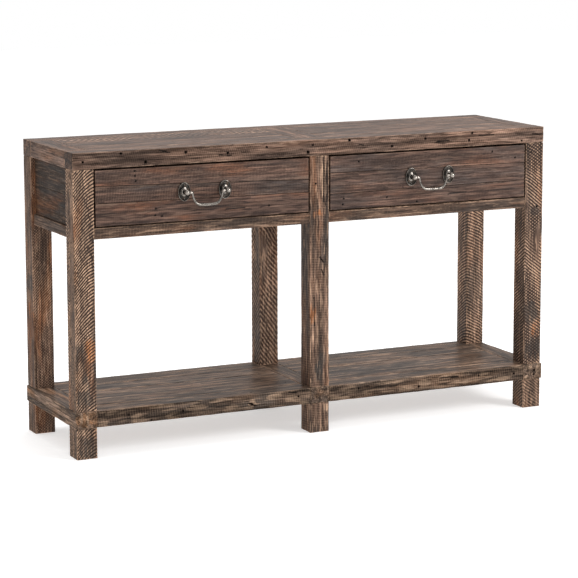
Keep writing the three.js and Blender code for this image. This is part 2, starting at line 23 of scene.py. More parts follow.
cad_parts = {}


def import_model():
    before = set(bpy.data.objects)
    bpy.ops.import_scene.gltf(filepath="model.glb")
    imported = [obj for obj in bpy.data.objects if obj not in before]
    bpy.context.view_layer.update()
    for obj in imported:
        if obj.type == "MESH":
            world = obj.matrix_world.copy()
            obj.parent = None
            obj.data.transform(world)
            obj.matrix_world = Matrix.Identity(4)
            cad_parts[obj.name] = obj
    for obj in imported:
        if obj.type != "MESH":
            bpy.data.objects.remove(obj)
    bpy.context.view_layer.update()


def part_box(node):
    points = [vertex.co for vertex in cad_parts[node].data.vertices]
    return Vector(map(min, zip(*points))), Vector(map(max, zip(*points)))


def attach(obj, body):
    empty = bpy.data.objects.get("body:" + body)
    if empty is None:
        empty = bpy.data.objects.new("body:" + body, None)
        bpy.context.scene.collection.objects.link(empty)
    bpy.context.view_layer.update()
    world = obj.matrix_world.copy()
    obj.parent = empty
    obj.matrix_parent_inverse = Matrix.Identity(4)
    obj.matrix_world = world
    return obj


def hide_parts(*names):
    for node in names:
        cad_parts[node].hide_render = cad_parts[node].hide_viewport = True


LOG = logging.getLogger("console_table")
MM = 0.001
GLUE_LINE = 0.12
NOISE_SHIFT = (7.3, 3.1, 5.7)

Colour = tuple[float, float, float]
Triple = tuple[float, float, float]


# ------------------------------------------------------------------------------------------------
# Node graphs
# ------------------------------------------------------------------------------------------------


class Graph:
    """Adds nodes to one tree, shader or geometry, and wires them."""

    def __init__(self, tree: bpy.types.NodeTree) -> None:
        """Starts on an empty or part-built tree."""
        self.tree = tree

    def feed(self, socket: bpy.types.NodeSocket, value: Any) -> None:
        """Links a socket to another, or sets its value.

        Args:
            socket: The input to fill.
            value: An output socket, a plain value, or None to leave the input alone.
        """
        if value is None:
            return
        if isinstance(value, bpy.types.NodeSocket):
            self.tree.links.new(value, socket)
        elif socket.type == "RGBA" and len(value) == 3:
            socket.default_value = (*value, 1.0)
        else:
            socket.default_value = value

    def add(self, kind: str, *values: Any, **settings: Any) -> bpy.types.Node:
        """Adds a node.

        Args:
            kind: The node's type name.
            *values: What its first inputs take, in order.
            **settings: Properties set before the inputs are filled.

        Returns:
            The new node.
        """
        node = self.tree.nodes.new(kind)
        for name, value in settings.items():
            setattr(node, name, value)
        for socket, value in zip(node.inputs, values):
            self.feed(socket, value)
        return node

    def math(self, operation: str, *values: Any, clamp: bool = False) -> bpy.types.NodeSocket:
        """Adds a math node and returns its result."""
        return self.add("ShaderNodeMath", *values, operation=operation, use_clamp=clamp).outputs[0]

    def times(self, *values: Any) -> bpy.types.NodeSocket:
        """Returns the product of two or more numbers."""
        return functools.reduce(lambda first, second: self.math("MULTIPLY", first, second), values)

    def plus(self, first: Any, second: Any) -> bpy.types.NodeSocket:
        """Returns the sum of two numbers."""
        return self.math("ADD", first, second)

    def flip(self, share: Any) -> bpy.types.NodeSocket:
        """Returns what a share leaves of 1."""
        return self.math("SUBTRACT", 1.0, share)

    def alike(self, value: Any) -> bpy.types.NodeSocket:
        """Returns a vector with the same number in all three places."""
        return self.join(value, value, value)

    def vector(self, operation: str, *values: Any) -> bpy.types.NodeSocket:
        """Adds a vector math node and returns its result, a number for lengths and dot products."""
        node = self.add("ShaderNodeVectorMath", *values, operation=operation)
        return node.outputs["Value" if operation in ("LENGTH", "DOT_PRODUCT") else "Vector"]

    def split(self, vector: Any) -> tuple[bpy.types.NodeSocket, ...]:
        """Returns a vector's three parts."""
        return tuple(self.add("ShaderNodeSeparateXYZ", vector).outputs)

    def join(self, x: Any, y: Any, z: Any) -> bpy.types.NodeSocket:
        """Returns a vector made of three numbers."""
        return self.add("ShaderNodeCombineXYZ", x, y, z).outputs[0]

    def step(self, value: Any, low: Any, high: Any) -> bpy.types.NodeSocket:
        """Returns a smooth 0 to 1 step of a value between two limits."""
        node = self.add("ShaderNodeMapRange", value, low, high, interpolation_type="SMOOTHSTEP")
        return node.outputs[0]

    def between(self, value: Any, low: float, high: float) -> bpy.types.NodeSocket:
        """Returns a 0 to 1 value stretched to run from low to high."""
        return self.math("MULTIPLY_ADD", value, high - low, low)

    def noise(self, place: Any, stretch: Triple, detail: float = 2.0) -> bpy.types.NodeSocket:
        """Returns smooth noise.

        Args:
            place: The place to sample, in metres.
            stretch: How many cells a metre holds along each axis.
            detail: Octaves added to the first.

        Returns:
            A number round 0.5.
        """
        scaled = self.vector("MULTIPLY", place, stretch)
        node = self.add("ShaderNodeTexNoise")
        self.feed(node.inputs["Vector"], scaled)
        self.feed(node.inputs["Scale"], 1.0)
        self.feed(node.inputs["Detail"], detail)
        return node.outputs[0]

    def blend(self, factor: Any, first: Any, second: Any, mode: str = "MIX") -> bpy.types.NodeSocket:
        """Mixes two colours and returns the result."""
        node = self.add("ShaderNodeMix", data_type="RGBA", blend_type=mode)
        for index, value in ((0, factor), (6, first), (7, second)):
            self.feed(node.inputs[index], value)
        return node.outputs[2]

    def attribute(self, name: str, output: str = "Vector") -> bpy.types.NodeSocket:
        """Returns an attribute of the mesh."""
        return self.add("ShaderNodeAttribute", attribute_name=name).outputs[output]

    def bump(self, shader: bpy.types.Node, height: Any, distance: float) -> None:
        """Roughens a shader's surface by a height, which is a distance in metres at its full value."""
        node = self.add("ShaderNodeBump")
        self.feed(node.inputs["Height"], height)
        self.feed(node.inputs["Distance"], distance)
        self.feed(shader.inputs["Normal"], node.outputs[0])

    def group(self, tree: bpy.types.NodeTree, **values: Any) -> bpy.types.Node:
        """Places a node group and fills its inputs by name, with underscores for spaces."""
        node = self.add("ShaderNodeGroup", node_tree=tree)
        for name, value in values.items():
            self.feed(node.inputs[name.replace("_", " ").title()], value)
        return node


@dataclass(frozen=True)
class GroupMaker:
    """A node group's name and sockets, and the function that wires its inside."""

    name: str
    inputs: dict[str, str]
    outputs: Sequence[str]
    wire: Callable[[Graph, dict[str, bpy.types.NodeSocket]], dict[str, bpy.types.NodeSocket]]
    kind: str = "ShaderNodeTree"

    def tree(self) -> bpy.types.NodeTree:
        """Returns the group, built the first time it is asked for."""
        if self.name in bpy.data.node_groups:
            return bpy.data.node_groups[self.name]
        tree = bpy.data.node_groups.new(self.name, self.kind)
        for name, kind in self.inputs.items():
            tree.interface.new_socket(name, in_out="INPUT", socket_type=f"NodeSocket{kind}")
        made = "NodeSocketFloat" if self.kind == "ShaderNodeTree" else "NodeSocketGeometry"
        for name in self.outputs:
            tree.interface.new_socket(name, in_out="OUTPUT", socket_type=made)
        graph = Graph(tree)
        source = graph.add("NodeGroupInput")
        target = graph.add("NodeGroupOutput")
        results = self.wire(graph, {name: source.outputs[name] for name in self.inputs})
        for name, value in results.items():
            graph.feed(target.inputs[name], value)
        return tree


def shifted(graph: Graph, place: Any, seed: Any) -> bpy.types.NodeSocket:
    """Returns a board's own place in the noise, so that no two boards match.

    Args:
        graph: The tree being wired.
        place: The place on the board, in metres.
        seed: The board's seed.

    Returns:
        The shifted place.
    """
    away = graph.vector("MULTIPLY", graph.alike(seed), NOISE_SHIFT)
    return graph.vector("ADD", place, away)


def saw_lane(graph: Graph, place: Any, marks: Any, jitter: Any, way: float) -> bpy.types.NodeSocket:
    """Returns one set of saw marks, 1 on the ridges and 0 in the cuts.

    Args:
        graph: The tree being wired.
        place: The place on the board, in metres, x along the grain.
        marks: Slope, bow and pitch of the marks.
        jitter: Noise that lets the saw wander.
        way: 1 or -1, the side to which the marks lean.

    Returns:
        The ridge height, 0 to 1.
    """
    along, across, deep = graph.split(place)
    slope, bow, pitch = graph.split(marks)
    girth = graph.plus(across, deep)
    lean = graph.times(girth, graph.times(slope, way))
    line = graph.plus(graph.plus(along, lean), graph.times(girth, girth, bow))
    turns = graph.plus(graph.math("DIVIDE", line, pitch), jitter)
    wave = graph.math("COSINE", graph.times(turns, math.tau))
    return graph.math("MULTIPLY_ADD", wave, 0.5, 0.5)


def saw_ridges(graph: Graph, place: Any, seed: Any, marks: Any, cross: Any) -> tuple[Any, Any]:
    """Returns the saw marks of a board, for the mesh and for the finish alike.

    Args:
        graph: The tree being wired.
        place: The place on the board, in metres.
        seed: The board's seed.
        marks: Slope, bow and pitch of the marks.
        cross: How strongly a second set crosses the first, 0 to 1.

    Returns:
        The ridges, and how fully the saw has marked each place, both 0 to 1.
    """
    spot = shifted(graph, place, seed)
    wander = graph.between(graph.noise(spot, (9.0, 16.0, 16.0), 2.0), -0.9, 0.9)
    aside = graph.vector("ADD", spot, (5.0, 1.0, 8.0))
    crossed = graph.step(graph.noise(aside, (6.0, 4.0, 4.0), 1.0), 0.42, 0.52)
    second = graph.flip(saw_lane(graph, place, marks, wander, -1.0))
    second = graph.flip(graph.times(second, graph.times(cross, crossed)))
    ridges = graph.math("MINIMUM", saw_lane(graph, place, marks, wander, 1.0), second)
    cover = graph.step(graph.noise(spot, (8.0, 22.0, 22.0), 3.0), 0.28, 0.46)
    return ridges, cover


# ------------------------------------------------------------------------------------------------
# Shader groups
# ------------------------------------------------------------------------------------------------


def wire_grain(graph: Graph, given: dict[str, Any]) -> dict[str, Any]:
    """Wires growth rings round a pith beside the board, and fibres along it."""
    spot = shifted(graph, given["Place"], given["Seed"])
    wander = graph.between(graph.noise(spot, (2.2, 10.0, 10.0), 3.0), -0.022, 0.022)
    _, across, deep = graph.split(given["Place"])
    side = graph.times(graph.math("SINE", graph.times(given["Seed"], 12.9)), 0.03)
    radius = graph.vector("LENGTH", graph.join(
        0.0,
        graph.plus(graph.plus(across, side), wander),
        graph.plus(graph.plus(deep, -0.06), wander),
    ))
    rings = graph.math("FRACT", graph.math("DIVIDE", radius, given["Ring Width"]))
    coarse = graph.noise(spot, (6.0, 230.0, 230.0), 3.0)
    fine = graph.noise(spot, (26.0, 950.0, 950.0), 2.0)
    fibres = graph.math("MULTIPLY_ADD", coarse, 0.5, graph.times(fine, 0.5))
    streaks = graph.noise(graph.vector("ADD", spot, (2.0, 6.0, 3.0)), (5.0, 150.0, 150.0), 4.0)
    checks = graph.noise(graph.vector("ADD", spot, (7.0, 3.0, 5.0)), (20.0, 200.0, 200.0), 3.0)
    return {
        "Rings": graph.math("POWER", rings, 3.0),
        "Fibres": graph.step(fibres, 0.4, 0.6),
        "Streaks": graph.step(streaks, 0.4, 0.6),
        "Checks": graph.step(checks, 0.57, 0.64),
        "Flecks": graph.step(checks, 0.43, 0.36),
    }


def wire_saw(graph: Graph, given: dict[str, Any]) -> dict[str, Any]:
    """Wires the saw's ridges, broken up where the surface has worn."""
    ridges, cover = saw_ridges(graph, given["Place"], given["Seed"], given["Marks"], given["Cross"])
    spot = shifted(graph, given["Place"], given["Seed"])
    broken = graph.step(graph.noise(spot, (120.0, 260.0, 260.0), 2.0), 0.3, 0.62)
    crest = graph.times(graph.step(ridges, 0.5, 0.92), broken)
    cut = graph.step(graph.flip(ridges), 0.38, 0.9)
    return {"Crest": graph.times(crest, cover), "Cut": graph.times(cut, cover)}


def wire_wear(graph: Graph, given: dict[str, Any]) -> dict[str, Any]:
    """Wires bare timber along the arrises, wide in some places and missing in others."""
    spot = shifted(graph, given["Place"], given["Seed"])
    patch = graph.noise(spot, (22.0, 90.0, 90.0), 4.0)
    reach = graph.math("MULTIPLY_ADD", graph.step(patch, 0.36, 0.72), given["Width"], 0.3 * MM)
    mask = graph.flip(graph.step(given["Edge"], 0.0, reach))
    ragged = graph.step(graph.noise(spot, (90.0, 500.0, 500.0), 2.0), 0.25, 0.6)
    return {"Bare": graph.times(mask, ragged)}


def wire_patches(graph: Graph, given: dict[str, Any]) -> dict[str, Any]:
    """Wires the patches where old stain has gone warm, grey or pale: some by chance, some placed."""
    spot = shifted(graph, given["Place"], given["Seed"])
    other = graph.vector("ADD", spot, (11.0, 4.0, 9.0))
    third = graph.vector("ADD", spot, (23.0, 17.0, 2.0))
    ragged = graph.between(graph.noise(other, (30.0, 85.0, 85.0), 4.0), -0.6, 2.6)
    placed = [
        graph.step(graph.times(share, ragged), 0.3, 0.62) for share in graph.split(given["Placed"])
    ]
    warm = graph.step(graph.noise(spot, (5.0, 21.0, 21.0), 4.0), 0.5, 0.66)
    grey = graph.step(graph.noise(other, (4.0, 15.0, 15.0), 4.0), 0.42, 0.6)
    return {
        "Warm": graph.math("MAXIMUM", graph.times(warm, given["Warmth"]), placed[0]),
        "Grey": graph.math("MAXIMUM", graph.times(grey, given["Greyness"]), placed[1]),
        "Pale": placed[2],
        "Cloud": graph.step(graph.noise(third, (5.0, 60.0, 60.0), 5.0), 0.36, 0.64),
    }


OWN_PLACE = {"Place": "Vector", "Seed": "Float"}
GRAIN = GroupMaker(
    "timber_grain", OWN_PLACE | {"Ring Width": "Float"}, ("Rings", "Fibres", "Streaks", "Checks", "Flecks"),
    wire_grain,
)
SAW = GroupMaker("saw_marks", OWN_PLACE | {"Marks": "Vector", "Cross": "Float"}, ("Crest", "Cut"), wire_saw)
WEAR = GroupMaker("edge_wear", OWN_PLACE | {"Edge": "Float", "Width": "Float"}, ("Bare",), wire_wear)
PATCHES = GroupMaker(
    "stain_patches", OWN_PLACE | {"Placed": "Vector", "Warmth": "Float", "Greyness": "Float"},
    ("Warm", "Grey", "Pale", "Cloud"), wire_patches,
)


# ------------------------------------------------------------------------------------------------
# Finishes
# ------------------------------------------------------------------------------------------------


def empty_material(name: str) -> tuple[bpy.types.Material, Graph, bpy.types.Node]:
    """Makes a material with a Principled shader.

    Args:
        name: The material's name.

    Returns:
        The material, its graph, and the shader node.
    """
    material = bpy.data.materials.new(name)
    material.use_nodes = True
    graph = Graph(material.node_tree)
    shader = next(n for n in material.node_tree.nodes if n.type == "BSDF_PRINCIPLED")
    return material, graph, shader


@dataclass(frozen=True)
class TimberFinish:
    """Old stain over rough timber: what is in the cuts, on the flats and on the worn crests.

    Ember is bare timber inside a warm patch. The near-black stain colour is both what iron leaves round a
    nail and painted shade inside nail holes and cracks. Mottle is how much the shade drifts, and flecks how
    strongly small pale chips show.
    """

    name: str
    slot: str
    dark: Colour
    middle: Colour
    light: Colour
    warm: Colour
    grey: Colour
    bare: Colour
    ember: Colour = (0.46, 0.20, 0.08)
    # Near black: the iron stain round nail holes, and painted shade inside nail holes and cracks.
    stain_and_shade_colour: Colour = (0.006, 0.004, 0.003)
    ring_width: float = 4.5 * MM
    wear_width: float = 5.0 * MM
    rough: tuple[float, float] = (0.5, 0.8)
    shine: float = 0.16
    coat: float = 0.0
    relief: float = 0.6 * MM
    mottle: float = 0.3
    flecks: float = 0.35

    def material(self) -> bpy.types.Material:
        """Returns the finish's material, made once."""
        if self.name in bpy.data.materials:
            return bpy.data.materials[self.name]
        material, graph, shader = empty_material(self.name)
        place = graph.attribute("place")
        seed = graph.attribute("seed", "Fac")
        edge = graph.attribute("edge", "Fac")
        end = graph.attribute("end_grain", "Fac")
        pit = graph.attribute("pit", "Fac")
        tone, warmth, sawn = graph.split(graph.attribute("look"))
        cross, greyness, worn = graph.split(graph.attribute("habit"))

        grain = graph.group(GRAIN.tree(), place=place, seed=seed, ring_width=self.ring_width)
        saw = graph.group(SAW.tree(), place=place, seed=seed, marks=graph.attribute("marks"), cross=cross)
        wear = graph.group(WEAR.tree(), place=place, seed=seed, edge=edge, width=self.wear_width)
        patch = graph.group(
            PATCHES.tree(), place=place, seed=seed, placed=graph.attribute("blotches"), warmth=warmth,
            greyness=greyness,
        )
        rings, fibres, streaks = (grain.outputs[name] for name in ("Rings", "Fibres", "Streaks"))
        side = graph.flip(end)
        clear = graph.times(side, graph.between(patch.outputs["Grey"], 1.0, 0.25))
        crest = graph.times(graph.times(saw.outputs["Crest"], sawn), clear)
        cut = graph.times(graph.times(saw.outputs["Cut"], sawn), side)

        colour = graph.blend(streaks, graph.blend(0.45, self.middle, self.dark), self.light)
        fresh = graph.blend(graph.times(patch.outputs["Warm"], 0.8), self.bare, self.ember)
        for share, layer in (
            (patch.outputs["Grey"], self.grey), (patch.outputs["Warm"], self.warm),
            (graph.times(patch.outputs["Pale"], 0.75), self.bare),
            (graph.between(fibres, 0.75, 0.0), self.dark),
            (graph.times(rings, 0.5), self.dark),
            (graph.times(grain.outputs["Flecks"], self.flecks), self.bare),
            (graph.times(grain.outputs["Checks"], 0.85), self.dark),
            (cut, self.dark),
            (graph.times(crest, 0.9), fresh),
            (graph.times(wear.outputs["Bare"], worn, 0.8), self.bare),
            (graph.times(end, 0.35), self.dark),
        ):
            colour = graph.blend(share, colour, layer)
        cloud = graph.between(patch.outputs["Cloud"], 1.0 + self.mottle, 1.0 - self.mottle)
        colour = graph.blend(1.0, colour, graph.alike(graph.times(tone, cloud)), "MULTIPLY")
        # Painted shade inside nail holes and cracks, and the iron stain round the nails.
        colour = graph.blend(pit, colour, self.stain_and_shade_colour)
        graph.feed(shader.inputs["Base Color"], colour)

        polish = graph.times(graph.plus(fibres, patch.outputs["Cloud"]), 0.5)
        graph.feed(shader.inputs["Roughness"], graph.between(polish, self.rough[1], self.rough[0]))
        height = graph.math("MULTIPLY_ADD", fibres, 0.35, graph.times(rings, -0.25))
        height = graph.math("MULTIPLY_ADD", crest, 0.9, height)
        height = graph.math("MULTIPLY_ADD", cut, -0.5, height)
        graph.bump(shader, height, self.relief)
        shader.inputs["Specular IOR Level"].default_value = self.shine
        if self.coat:
            waxed = graph.times(graph.attribute("topside", "Fac"), self.coat)
            graph.feed(shader.inputs["Coat Weight"], waxed)
        shader.inputs["Coat Roughness"].default_value = 0.35
        return material


@dataclass(frozen=True)
class IronFinish:
    """Cast iron with a dark patina, its base colour lightened on rims and knuckles: rubbed wear and painted
    highlights.
    """

    name: str = "patinated_iron"
    slot: str = "iron"
    deep: Colour = (0.012, 0.011, 0.010)
    middle: Colour = (0.055, 0.049, 0.043)
    # Light colour on rims and knuckles: rubbed wear and painted highlight.
    rubbed_and_highlit: Colour = (0.62, 0.56, 0.50)
    brown: Colour = (0.10, 0.060, 0.038)

    def material(self) -> bpy.types.Material:
        """Returns the finish's material, made once."""
        if self.name in bpy.data.materials:
            return bpy.data.materials[self.name]
        material, graph, shader = empty_material(self.name)
        place = graph.add("ShaderNodeTexCoord").outputs["Object"]
        cloud = graph.noise(place, (120.0, 120.0, 120.0), 5.0)
        pits = graph.noise(place, (800.0, 800.0, 800.0), 3.0)
        aside = graph.vector("ADD", place, (3.0, 1.0, 2.0))
        rust = graph.step(graph.noise(aside, (140.0, 140.0, 140.0), 4.0), 0.5, 0.68)
        # Where the colour lightens: rubbed wear and painted highlights on rims.
        rubbed_and_highlit = graph.times(graph.attribute("rub", "Fac"), graph.step(cloud, 0.25, 0.5))
        colour = graph.blend(graph.step(cloud, 0.35, 0.7), self.deep, self.middle)
        colour = graph.blend(graph.times(rust, 0.5), colour, self.brown)
        colour = graph.blend(rubbed_and_highlit, colour, self.rubbed_and_highlit)
        graph.feed(shader.inputs["Base Color"], colour)
        rough = graph.between(graph.step(pits, 0.3, 0.7), 0.20, 0.36)
        graph.feed(shader.inputs["Roughness"], graph.math("MULTIPLY_ADD", rubbed_and_highlit, -0.08, rough))
        shader.inputs["Metallic"].default_value = 0.9
        graph.bump(shader, graph.math("MULTIPLY_ADD", pits, 0.5, cloud), 0.2 * MM)
        return material


FRAME_TIMBER = TimberFinish(
    "aged_frame_timber", "frame_timber", dark=(0.024, 0.014, 0.010), middle=(0.110, 0.064, 0.043),
    light=(0.215, 0.128, 0.088), warm=(0.35, 0.130, 0.048), grey=(0.070, 0.060, 0.053),
    bare=(0.56, 0.360, 0.240),
)
TOP_TIMBER = replace(
    FRAME_TIMBER, name="aged_top_timber", slot="top_boards", dark=(0.030, 0.018, 0.013),
    middle=(0.180, 0.104, 0.074), light=(0.330, 0.200, 0.144), warm=(0.30, 0.145, 0.080),
    grey=(0.125, 0.092, 0.078), bare=(0.54, 0.360, 0.260), rough=(0.36, 0.55), relief=0.3 * MM,
    shine=0.05, coat=0.25, mottle=0.36, flecks=0.2,
)
DRAWER_TIMBER = replace(
    FRAME_TIMBER, name="aged_drawer_timber", slot="drawer_fronts", dark=(0.024, 0.013, 0.010),
    middle=(0.084, 0.047, 0.034), light=(0.172, 0.098, 0.071), warm=(0.22, 0.088, 0.046),
    grey=(0.082, 0.064, 0.057), bare=(0.28, 0.180, 0.128), rough=(0.42, 0.68), mottle=0.26, flecks=0.2,
)
SHELF_TIMBER = replace(
    FRAME_TIMBER, name="aged_shelf_timber", slot="shelf_boards", dark=(0.024, 0.017, 0.013),
    middle=(0.185, 0.121, 0.087), light=(0.335, 0.223, 0.162), warm=(0.34, 0.175, 0.090),
    grey=(0.138, 0.108, 0.090), bare=(0.56, 0.380, 0.260), shine=0.05, coat=0.4, mottle=0.45,
)
SOFTWOOD = replace(
    FRAME_TIMBER, name="aged_softwood", slot="inner_softwood", dark=(0.23, 0.130, 0.075),
    middle=(0.43, 0.275, 0.168), light=(0.55, 0.380, 0.250), warm=(0.46, 0.25, 0.12),
    grey=(0.34, 0.26, 0.18), bare=(0.55, 0.40, 0.25), wear_width=2.0 * MM, relief=0.2 * MM,
)
IRON = IronFinish()


# ------------------------------------------------------------------------------------------------
# Places and meshes
# ------------------------------------------------------------------------------------------------


@dataclass(frozen=True)
class Block:
    """A box-shaped place in the row frame."""

    low: Triple
    high: Triple

    @classmethod
    def of(cls, node: str) -> Block:
        """Returns the place of a CAD node."""
        low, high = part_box(node)
        return cls(tuple(low), tuple(high))

    def between(self, axis: int, low: float, high: float) -> Block:
        """Returns the block with new limits along one axis."""
        lows, highs = list(self.low), list(self.high)
        lows[axis], highs[axis] = low, high
        return Block(tuple(lows), tuple(highs))

    def sliced(self, axis: int, cuts: Sequence[float]) -> list[Block]:
        """Cuts the block across an axis.

        Args:
            axis: The axis that the cuts cross.
            cuts: Where, in metres, in rising order.

        Returns:
            The slices, from low to high.
        """
        lines = [self.low[axis], *cuts, self.high[axis]]
        return [self.between(axis, a, b) for a, b in zip(lines, lines[1:])]

    @property
    def centre(self) -> Vector:
        """The middle of the block."""
        return (Vector(self.low) + Vector(self.high)) / 2

    @property
    def size(self) -> Vector:
        """The block's length along each axis."""
        return Vector(self.high) - Vector(self.low)


class Lie(Enum):
    """How a board lies: the world directions of its grain, its width and its thickness."""

    FLAT = ((1, 0, 0), (0, 1, 0), (0, 0, 1))
    ON_EDGE = ((1, 0, 0), (0, 0, 1), (0, -1, 0))
    FLAT_ACROSS = ((0, 1, 0), (-1, 0, 0), (0, 0, 1))
    ON_EDGE_ACROSS = ((0, 1, 0), (0, 0, 1), (1, 0, 0))
    UPRIGHT = ((0, 0, 1), (1, 0, 0), (0, 1, 0))

    @property
    def turn(self) -> Matrix:
        """The rotation from a board's own axes to the row frame's."""
        return Matrix(self.value).transposed()


class Face(Enum):
    """A face of a board in the row frame: its axis, and which end of it."""

    FRONT = (1, -1)
    LEFT = (0, -1)
    TOP = (2, 1)

    def frame(self) -> Matrix:
        """Returns the rotation whose Z points out of the face, with the other row axes in order."""
        axis, way = self.value
        out = Vector([way if i == axis else 0 for i in range(3)])
        first = Vector([1 if i == min(k for k in range(3) if k != axis) else 0 for i in range(3)])
        return Matrix((first, out.cross(first), out)).transposed()


@dataclass(frozen=True)
class Nail:
    """An old nail hole on a face, at two row coordinates in millimetres."""

    face: Face
    at: tuple[float, float]
    width: float = 4.2
    depth: float = 9.0


class Hue(Enum):
    """What a placed patch shows: warm bare timber, grey old paint, or pale fresh timber."""

    WARM = 0
    GREY = 1
    PALE = 2


@dataclass(frozen=True)
class Blotch:
    """A ragged patch on a face, with its centre and size at two row coordinates in millimetres."""

    hue: Hue
    face: Face
    at: tuple[float, float]
    size: tuple[float, float]
    strength: float = 1.2


@dataclass(frozen=True)
class Crack:
    """A drying crack or torn splinter on a face, from one point to another, in millimetres."""

    face: Face
    start: tuple[float, float]
    end: tuple[float, float]
    width: float = 1.6
    depth: float = 4.0


def nails(face: Face, *rows: tuple[float, ...]) -> tuple[Nail, ...]:
    """Returns nail holes on a face, each row its place and, unless usual, its width."""
    return tuple(Nail(face, row[:2], *row[2:]) for row in rows)


def cracks(face: Face, *rows: tuple[float, ...]) -> tuple[Crack, ...]:
    """Returns cracks on a face, each row its start, its end, its width and its depth."""
    return tuple(Crack(face, row[:2], row[2:4], *row[4:]) for row in rows)


def patches(face: Face, **hues: Sequence[tuple[float, ...]]) -> tuple[Blotch, ...]:
    """Returns patches on a face, by hue, each row its centre, its size and, unless usual, its strength."""
    return tuple(
        Blotch(Hue[hue.upper()], face, row[:2], row[2:4], *row[4:])
        for hue, rows in hues.items() for row in rows
    )


def on_face(face: Face, at: tuple[float, float], block: Block) -> Vector:
    """Returns the point of a block's face at two row coordinates.

    Args:
        face: The face.
        at: The other two coordinates, in axis order, in millimetres.
        block: The board's place.

    Returns:
        The point, in metres.
    """
    axis, way = face.value
    point = [value * MM for value in at]
    point.insert(axis, block.high[axis] if way > 0 else block.low[axis])
    return Vector(point)


def mesh_object(name: str, mesh: bpy.types.Mesh) -> bpy.types.Object:
    """Links a mesh into the scene as an object at the origin."""
    thing = bpy.data.objects.new(name, mesh)
    bpy.context.scene.collection.objects.link(thing)
    return thing


def evaluated_mesh(thing: bpy.types.Object) -> bpy.types.Mesh:
    """Returns an object's mesh with its modifiers applied."""
    depsgraph = bpy.context.evaluated_depsgraph_get()
    return bpy.data.meshes.new_from_object(
        thing.evaluated_get(depsgraph), preserve_all_data_layers=True, depsgraph=depsgraph
    )


def discard(thing: bpy.types.Object) -> None:
    """Removes a helper object and its mesh."""
    mesh = thing.data
    bpy.data.objects.remove(thing)
    bpy.data.meshes.remove(mesh)


def cut_or_join(mesh: bpy.types.Mesh, tool: bpy.types.Mesh, operation: str) -> bpy.types.Mesh:
    """Cuts one closed mesh with another, or joins the two.

    Args:
        mesh: The body.
        tool: The cutter, or what is joined on. It is used up.
        operation: DIFFERENCE or UNION.

    Returns:
        The new mesh. The body's old mesh is removed.
    """
    body, other = mesh_object("body", mesh), mesh_object("tool", tool)
    modifier = body.modifiers.new("cut", "BOOLEAN")
    modifier.solver = "MANIFOLD"
    modifier.operation = operation
    modifier.object = other
    result = evaluated_mesh(body)
    discard(body)
    discard(other)
    return result


def nodes_mesh(tree: bpy.types.NodeTree, values: dict[str, Any]) -> bpy.types.Mesh:
    """Runs a geometry tree with the given inputs.

    Args:
        tree: The tree.
        values: Its inputs by name.

    Returns:
        What it makes, as a plain mesh.
    """
    thing = mesh_object("maker", bpy.data.meshes.new("maker"))
    modifier = thing.modifiers.new("maker", "NODES")
    modifier.node_group = tree
    for item in tree.interface.items_tree:
        if item.in_out == "INPUT" and item.name in values:
            modifier[item.identifier] = values[item.name]
    result = evaluated_mesh(thing)
    discard(thing)
    return result


# ------------------------------------------------------------------------------------------------
# Rough-sawn boards
# ------------------------------------------------------------------------------------------------


def dressed_end(graph: Graph, shape: Any, material: Any) -> bpy.types.NodeSocket:
    """Makes instances real, dresses them and returns the geometry."""
    real = graph.add("GeometryNodeRealizeInstances", shape)
    dressed = graph.add("GeometryNodeSetMaterial", real.outputs[0])
    graph.feed(dressed.inputs["Material"], material)
    return dressed.outputs[0]


